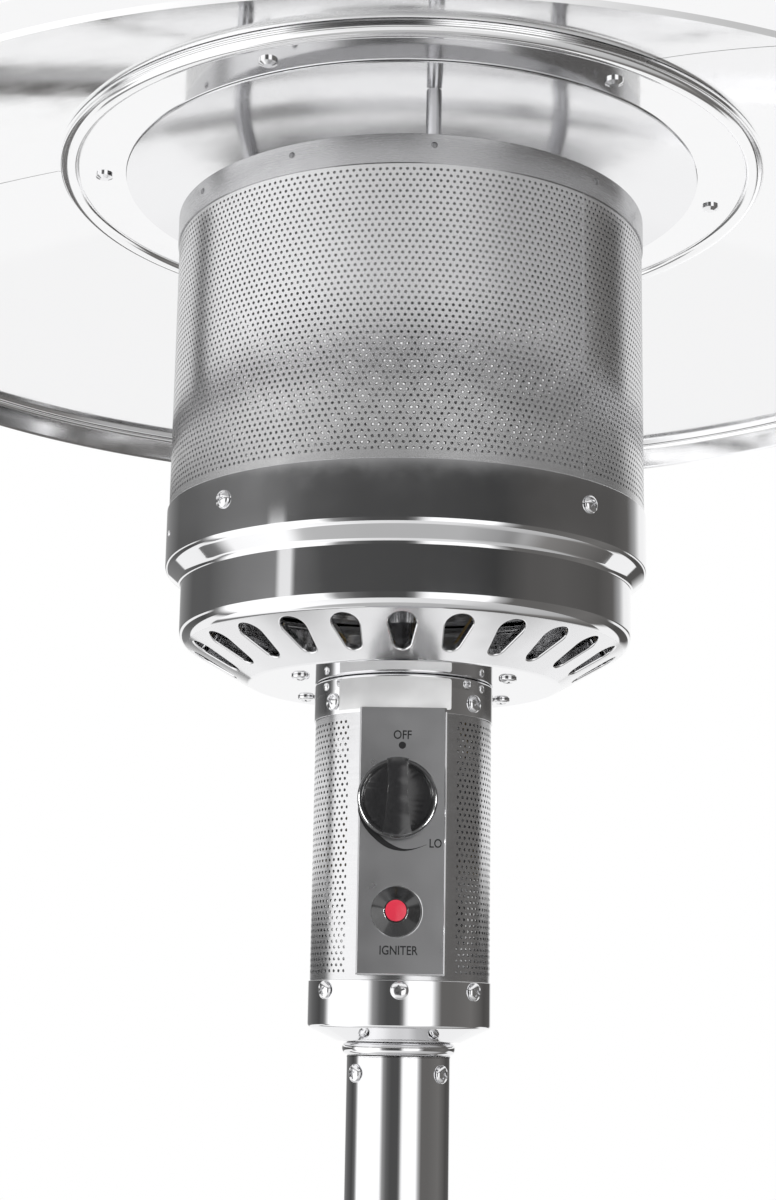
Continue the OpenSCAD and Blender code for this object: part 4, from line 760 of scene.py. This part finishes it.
def cone(steps=6, crowding=1.3):
    """The bowl's conical face. Each vent's sector runs from the vent's outline out to the sector's own edge,
    in steps that crowd towards the vent."""
    half = 180.0 / VENTS
    mid = (WIDE_AT + NARROW_AT) / 2
    verts, faces, normals = [], [], []
    for v in range(VENTS):
        turn = VENT_TURN + v * 360.0 / VENTS
        rays = []
        for x, y, _, _ in vent_outline():
            rho, phi = math.hypot(x, y), math.degrees(math.atan2(x, y))
            reach = [half / max(abs(phi), 1e-9)]
            if rho > mid:
                reach.append((CONE_END - mid) / (rho - mid))
            elif rho < mid:
                reach.append((mid - CONE_R) / (mid - rho))
            k = min(reach)
            rays.append([phi, rho, phi * k, mid + (rho - mid) * k])
        for corner in ((half, CONE_END), (-half, CONE_END), (-half, CONE_R), (half, CONE_R)):
            best = min(rays, key=lambda q: abs(q[2] - corner[0]) * 2 + abs(q[3] - corner[1]))
            best[2], best[3] = corner
        faces += quads(len(rays), steps + 1, len(verts), flip=True)
        for phi, rho, edge_phi, edge_rho in rays:
            for k in range(steps + 1):
                t = (k / steps) ** crowding
                a, r = turn + phi + (edge_phi - phi) * t, rho + (edge_rho - rho) * t
                verts.append(cone_point(a, r) * MM)
                normals.append(around(a, math.sin(LEAN), -math.cos(LEAN)))
    exact_piece("bowl_cone", verts, faces, normals, "brushed")


def vent_flanges(edge=1.1, depth=4.2, sheet=0.8, bend=6):
    """Each vent's edge is drawn inwards: a rounded bend, a short wall and the sheet's cut edge."""
    section = []
    for k in range(bend + 1):
        t = math.radians(90 * k / bend)
        section.append((-edge * math.sin(t), edge * (1 - math.cos(t)), math.cos(t), -math.sin(t)))
    section += [(-edge, depth, 0, -1), (-edge, depth, -1, 0), (-edge + sheet, depth, -1, 0)]
    outline = vent_outline()
    verts, faces, normals = [], [], []
    for v in range(VENTS):
        turn = VENT_TURN + v * 360.0 / VENTS
        faces += quads(len(outline), len(section), len(verts))
        across = around(turn + 90, 1, 0)
        uphill = around(turn, math.cos(LEAN), math.sin(LEAN))
        for x, y, nx, ny in outline:
            a = turn + math.degrees(math.atan2(x, y))
            foot = cone_point(a, math.hypot(x, y))
            away = (across * nx + uphill * ny).normalized()
            out = around(a, math.sin(LEAN), -math.cos(LEAN))
            for u, w, n_out, n_away in section:
                verts.append((foot + away * u - out * w) * MM)
                normals.append(out * n_out + away * n_away)
    exact_piece("vent_flanges", verts, faces, normals, "polished")


cone()
vent_flanges()
lathe("bowl_foot", [line((50, 212), (96.4, 212)), bow((96.4, 218), 6, -90, -90 + CONE_LEAN, 6)], "polished")


# Screws and rivets
def knoll(profile, top, segments):
    """Turns points of (radius, height) round the z axis and closes them at the top: (vertices, faces)."""
    n = len(profile)
    turns = [2 * math.pi * i / segments for i in range(segments)]
    verts = [(r * math.cos(t), r * math.sin(t), z) for t in turns for r, z in profile] + [(0, 0, top)]
    last = [i * n + n - 1 for i in range(segments)]
    return verts, quads(segments, n) + [(a, b, len(verts) - 1) for a, b in zip(last, last[1:] + last[:1])]


def draft(name, me):
    o = bpy.data.objects.new(name, me)
    scene.collection.objects.link(o)
    return o


def cross_screw(head_r=5.5, head_h=3.0, rim=0.7, segments=48, steps=8):
    """One pan head with a cross recess, its seat on z = 0, in millimetres: (vertices, faces)."""
    profile = [(head_r - 0.5, 0.0), (head_r, 0.15), (head_r, rim)]
    for k in range(1, steps):
        t = math.radians(90 * k / steps)
        profile.append((head_r * (0.12 + 0.88 * math.cos(t)), rim + (head_h - rim) * math.sin(t)))
    verts, faces = knoll(profile, head_h, segments)
    faces.append(tuple(i * len(profile) for i in range(segments))[::-1])
    me = bpy.data.meshes.new("screw_draft")
    me.from_pydata(verts, [], faces)
    head = draft("screw_draft", me)
    bm = bmesh.new()
    arm, width, tall, floor = 6.2, 1.05, 4.0, head_h - 1.5
    for turn in (0, 90):
        box = bmesh.ops.create_cube(bm, size=1.0)
        bar = Matrix.Rotation(math.radians(turn), 4, "Z") @ Matrix.Diagonal((arm, width, tall, 1))
        bmesh.ops.transform(bm, matrix=Matrix.Translation((0, 0, floor + tall / 2)) @ bar, verts=box["verts"])
    cut_me = bpy.data.meshes.new("screw_cut")
    bm.to_mesh(cut_me)
    bm.free()
    cut = draft("screw_cut", cut_me)
    mod = head.modifiers.new("cross", "BOOLEAN")
    mod.operation, mod.solver, mod.object = "DIFFERENCE", "EXACT", cut
    mod.use_self = True
    done = bpy.data.meshes.new_from_object(head.evaluated_get(bpy.context.evaluated_depsgraph_get()))
    bpy.data.objects.remove(head)
    bpy.data.objects.remove(cut)
    return [v.co.copy() for v in done.vertices], [tuple(p.vertices) for p in done.polygons]


def dome(r, h, segments=24, steps=5):
    """A low rivet head, its seat on z = 0, in millimetres: (vertices, faces)."""
    rise = [math.radians(90 * k / steps) for k in range(steps)]
    return knoll([(r * math.cos(t), h * math.sin(t)) for t in rise], h, segments)


def spread_out(name, shape, frames, mat):
    """Copies of one shape at several frames, joined into one piece."""
    verts, faces = [], []
    for m in frames:
        base = len(verts)
        verts += [m @ (Vector(co) * MM) for co in shape[0]]
        faces += [tuple(base + i for i in f) for f in shape[1]]
    return piece(name, verts, faces, mat)


rng = random.Random(7)


def spot():
    """How far a screw's cross is turned."""
    return rng.uniform(0, 90)


screw = cross_screw()
for name, node, frames in (
        ("collar_screw_heads", "collar_screws",
         [outward(a, COLLAR_R, 22.3, spot()) for a in (-52, 0, 52, 180)]
         + [outward(a, COLLAR_R, 196.6, spot()) for a in (-50, 50, 180)]),
        ("bowl_screw_heads", "bowl_screws",
         [outward(a, BAND_R, 305.5, spot()) for a in (45, 135, 225, 315)]
         + [downward(a, 76, 212, spot()) for a in (-123, -57, 57, 123)]),
        ("post_screw_heads", "post_screws",
         [outward(a, POST_R, -26.5, spot()) for a in (-54, 54, 180)]
         + [outward(a, POST_R, z, spot()) for a in (-90, 90) for z in (POST_JOINT - 35, POST_JOINT + 35)])):
    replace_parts(spread_out(name, screw, frames, "screw"), node)
spread_out("band_rivets", dome(2.0, 0.9),
           [outward(a, 153.25, 512.4) for a in (-58.6, -28, 5, 48, 90, 132, 175, -142, -100)], "rivet")
spread_out("collar_rivets", dome(2.6, 1.4), [outward(a, 56.35, 207) for a in (-58.5, 58.5)], "screw")
spread_out("bowl_rivets", dome(1.8, 0.9), [outward(a, 153.55, 301) for a in (-75, 105)], "screw")


# Curved patches: the emitter's lap, the bare label and the guard's plain strips
def from_lowest(corners):
    """A face's corners in the same turn, from the lowest index on."""
    k = corners.index(min(corners))
    return tuple(corners[k:] + corners[:k])


def patch(name, radius, thick, a0, a1, z0, z1, mat, columns, rounded=0.0):
    """A thin plate that lies on a cylinder, between two angles and two heights, its right corners rounded."""
    outline = []
    scale = math.degrees(1 / radius)
    right = a1 - rounded * scale
    for a, z, r, start in ((right, z1 - rounded, rounded, 0), (a0, z1, 0, 90), (a0, z0, 0, 180),
                           (right, z0 + rounded, rounded, 270)):
        steps = 6 if r else 1
        for k in range(steps + 1 if r else 1):
            t = math.radians(start + 90 * k / steps)
            outline.append((a + r * math.cos(t) * scale, z + r * math.sin(t)))
    bm = bmesh.new()
    bm.faces.new([bm.verts.new((a, z, 0)) for a, z in outline])
    for k in range(1, columns):
        bmesh.ops.bisect_plane(bm, geom=bm.verts[:] + bm.edges[:] + bm.faces[:],
                               plane_co=(a0 + (a1 - a0) * k / columns, 0, 0), plane_no=(1, 0, 0))
    for e in bmesh.ops.extrude_face_region(bm, geom=bm.faces[:])["geom"]:
        if isinstance(e, bmesh.types.BMVert):
            e.co.z = -thick
    bmesh.ops.recalc_face_normals(bm, faces=bm.faces)
    bm.verts.index_update()
    verts = [around(v.co.x, (radius + thick + v.co.z) * MM, (H + v.co.y) * MM) for v in bm.verts]
    # the cuts leave the faces in an order that changes from run to run
    faces = sorted(from_lowest([v.index for v in f.verts]) for f in bm.faces)
    bm.free()
    weld(piece(name, verts, faces, mat), 1e-7)


patch("emitter_lap", 152.42, 0.4, 43.3, 43.75, 288, 513, "satin", 2)
patch("collar_label", 56.42, 0.14, -44.5, 31.0, 190.7, 210.0, "label", 40, rounded=1.6)
patch("guard_strip_right", 55.42, 0.05, 20, 36.6, 28.4, 188.6, "guard", 12)
patch("guard_strip_left", 55.42, 0.05, -36.6, -20, 28.4, 188.6, "guard", 12)

# Plain words and marks, just in front of the panel
INK_Y = -58.04
DOT_X, DOT_Z, DOT_R = -0.4, 167.4, 2.2


def ink(name, points, faces):
    """Flat printing on the panel, from points of (x, z)."""
    piece(name, [(x * MM, INK_Y * MM, (H + z) * MM) for x, z in points], faces, "ink", smooth=0)


def word(name, text, x, z, height, width):
    """Lettering, centred at x and z."""
    curve = bpy.data.curves.new(name, "FONT")
    curve.body = text
    curve.align_x, curve.align_y = "CENTER", "CENTER"
    curve.size = 1.0
    curve.extrude = 0.0
    curve.offset = 0.014
    curve.resolution_u = 6
    drawn = draft(name, curve)
    me = bpy.data.meshes.new_from_object(drawn.evaluated_get(bpy.context.evaluated_depsgraph_get()))
    bpy.data.objects.remove(drawn)
    co = np.array([v.co[:2] for v in me.vertices])
    lo, hi = co.min(0), co.max(0)
    co = (co - (lo + hi) / 2) * (width, height) / (hi - lo) + (x, z)
    ink(name, co.tolist(), [tuple(p.vertices) for p in me.polygons])


word("mark_off", "OFF", -0.3, 173.8, 5.4, 10.9)
word("mark_lo", "LO", 20.3, 108.7, 5.3, 7.3)
word("mark_igniter", "IGNITER", -0.8, 45.4, 5.4, 22.7)
ink("mark_dot", [(DOT_X + DOT_R * math.cos(t), DOT_Z + DOT_R * math.sin(t))
                 for t in np.linspace(0, 2 * math.pi, 33)[:-1]], [tuple(range(32))])

# The tapering sweep from OFF to LO under the knob: its outer and its inner edge, as (x, z)
SWEEP_OUT = [(-26.3, 131.0), (-26.1, 126.0), (-22.4, 117.8), (-16.0, 110.8), (-8.8, 105.8), (-0.5, 103.9),
             (6.7, 104.7), (14.9, 107.7)]
SWEEP_IN = [(14.9, 107.9), (7.7, 105.6), (0.5, 105.3), (-6.7, 108.2), (-13.0, 112.9), (-18.5, 119.0),
            (-22.0, 126.0), (-23.5, 131.0)]


def smooth_curve(points, n=6):
    """A curve through points, with n steps between each two."""
    p = np.array([points[0], *points, points[-1]])
    out = []
    for a, b, c, d in zip(p, p[1:], p[2:], p[3:]):
        for t in np.arange(n) / n:
            out.append(0.5 * (2 * b + (c - a) * t + (2 * a - 5 * b + 4 * c - d) * t * t
                              + (3 * b - a - 3 * c + d) * t ** 3))
    return [*out, p[-1]]


sweep = smooth_curve(SWEEP_OUT) + smooth_curve(SWEEP_IN)[::-1]
half = len(sweep) // 2
ink("mark_sweep", sweep, [(i, i + 1, half + i + 1, half + i) for i in range(half - 1)])

# The igniter's bezel, a cone up to the button, and the bright ring behind it. Distances run forwards from
# the post's axis.
BEZEL_X, RING_X, BEZEL_Z = -2.8, -2, 68
BEZEL_OUT, BEZEL_TOP, BEZEL_BORE = 14.8, 7.4, 6.3
BEZEL_BACK, BEZEL_LIP, BEZEL_FRONT, BORE_END = 58.1, 59.1, 67.0, 61.1
BEZEL_ROUND = 0.45
RING = [(14.0, 58.02), (15.5, 58.02), (15.5, 58.5), (15.2, 58.85), (14.5, 58.95), (14.0, 58.8)]


def bezel_cone():
    low = (BEZEL_OUT - BEZEL_ROUND, BEZEL_LIP)
    high = (BEZEL_TOP - BEZEL_ROUND, BEZEL_FRONT - BEZEL_ROUND)
    tilt = math.degrees(math.atan2(low[0] - high[0], high[1] - low[1]))
    foot, brow = bow(low, BEZEL_ROUND, 0, tilt, 4), bow(high, BEZEL_ROUND, tilt, 90, 6)
    o = lathe("bezel_cone", [
        line((BEZEL_OUT, BEZEL_BACK), (BEZEL_OUT, BEZEL_LIP)), foot, line(foot[-1][:2], brow[0][:2]), brow,
        line((high[0], BEZEL_FRONT), (BEZEL_BORE, BEZEL_FRONT)),
        line((BEZEL_BORE, BEZEL_FRONT), (BEZEL_BORE, BORE_END))],
        "gloss_black", 96, replaces="igniter_bezel", axis=forward(BEZEL_X, BEZEL_Z))
    moulded.objects.link(o)


def bezel_ring(segments=72):
    turns = [2 * math.pi * i / segments for i in range(segments)]
    verts = [(r * math.cos(t), r * math.sin(t), d) for t in turns for r, d in RING]
    shape = verts, quads(segments, len(RING))
    weld(spread_out("bezel_ring", shape, [forward(RING_X, BEZEL_Z)], "screw"), 1e-7)


bezel_cone()

# The bright bends at the panel's right and lower edges
BEND_X, BEND_Y, BEND_LOW, BEND_HIGH, BEND_R = 26.1, -57.6, 31, 188, 0.55


def panel_bend(name, p, q, across, turns=16):
    """A rounded edge of the panel's sheet, from one corner to another, as (x, z)."""
    verts = []
    for x, z in (p, q):
        for k in range(turns):
            t = 2 * math.pi * k / turns
            n = Vector(across) * math.cos(t) + Vector((0, -1, 0)) * math.sin(t)
            verts.append((Vector((x, BEND_Y, H + z)) + n * BEND_R) * MM)
    weld(piece(name, verts, sleeve(2, turns), "polished", smooth=50), 1e-6)


panel_bend("panel_bend_right", (BEND_X, BEND_LOW), (BEND_X, BEND_HIGH), (1, 0, 0))
panel_bend("panel_bend_low", (-BEND_X, BEND_LOW + 0.5), (BEND_X, BEND_LOW + 0.5), (0, 0, 1))
bezel_ring()
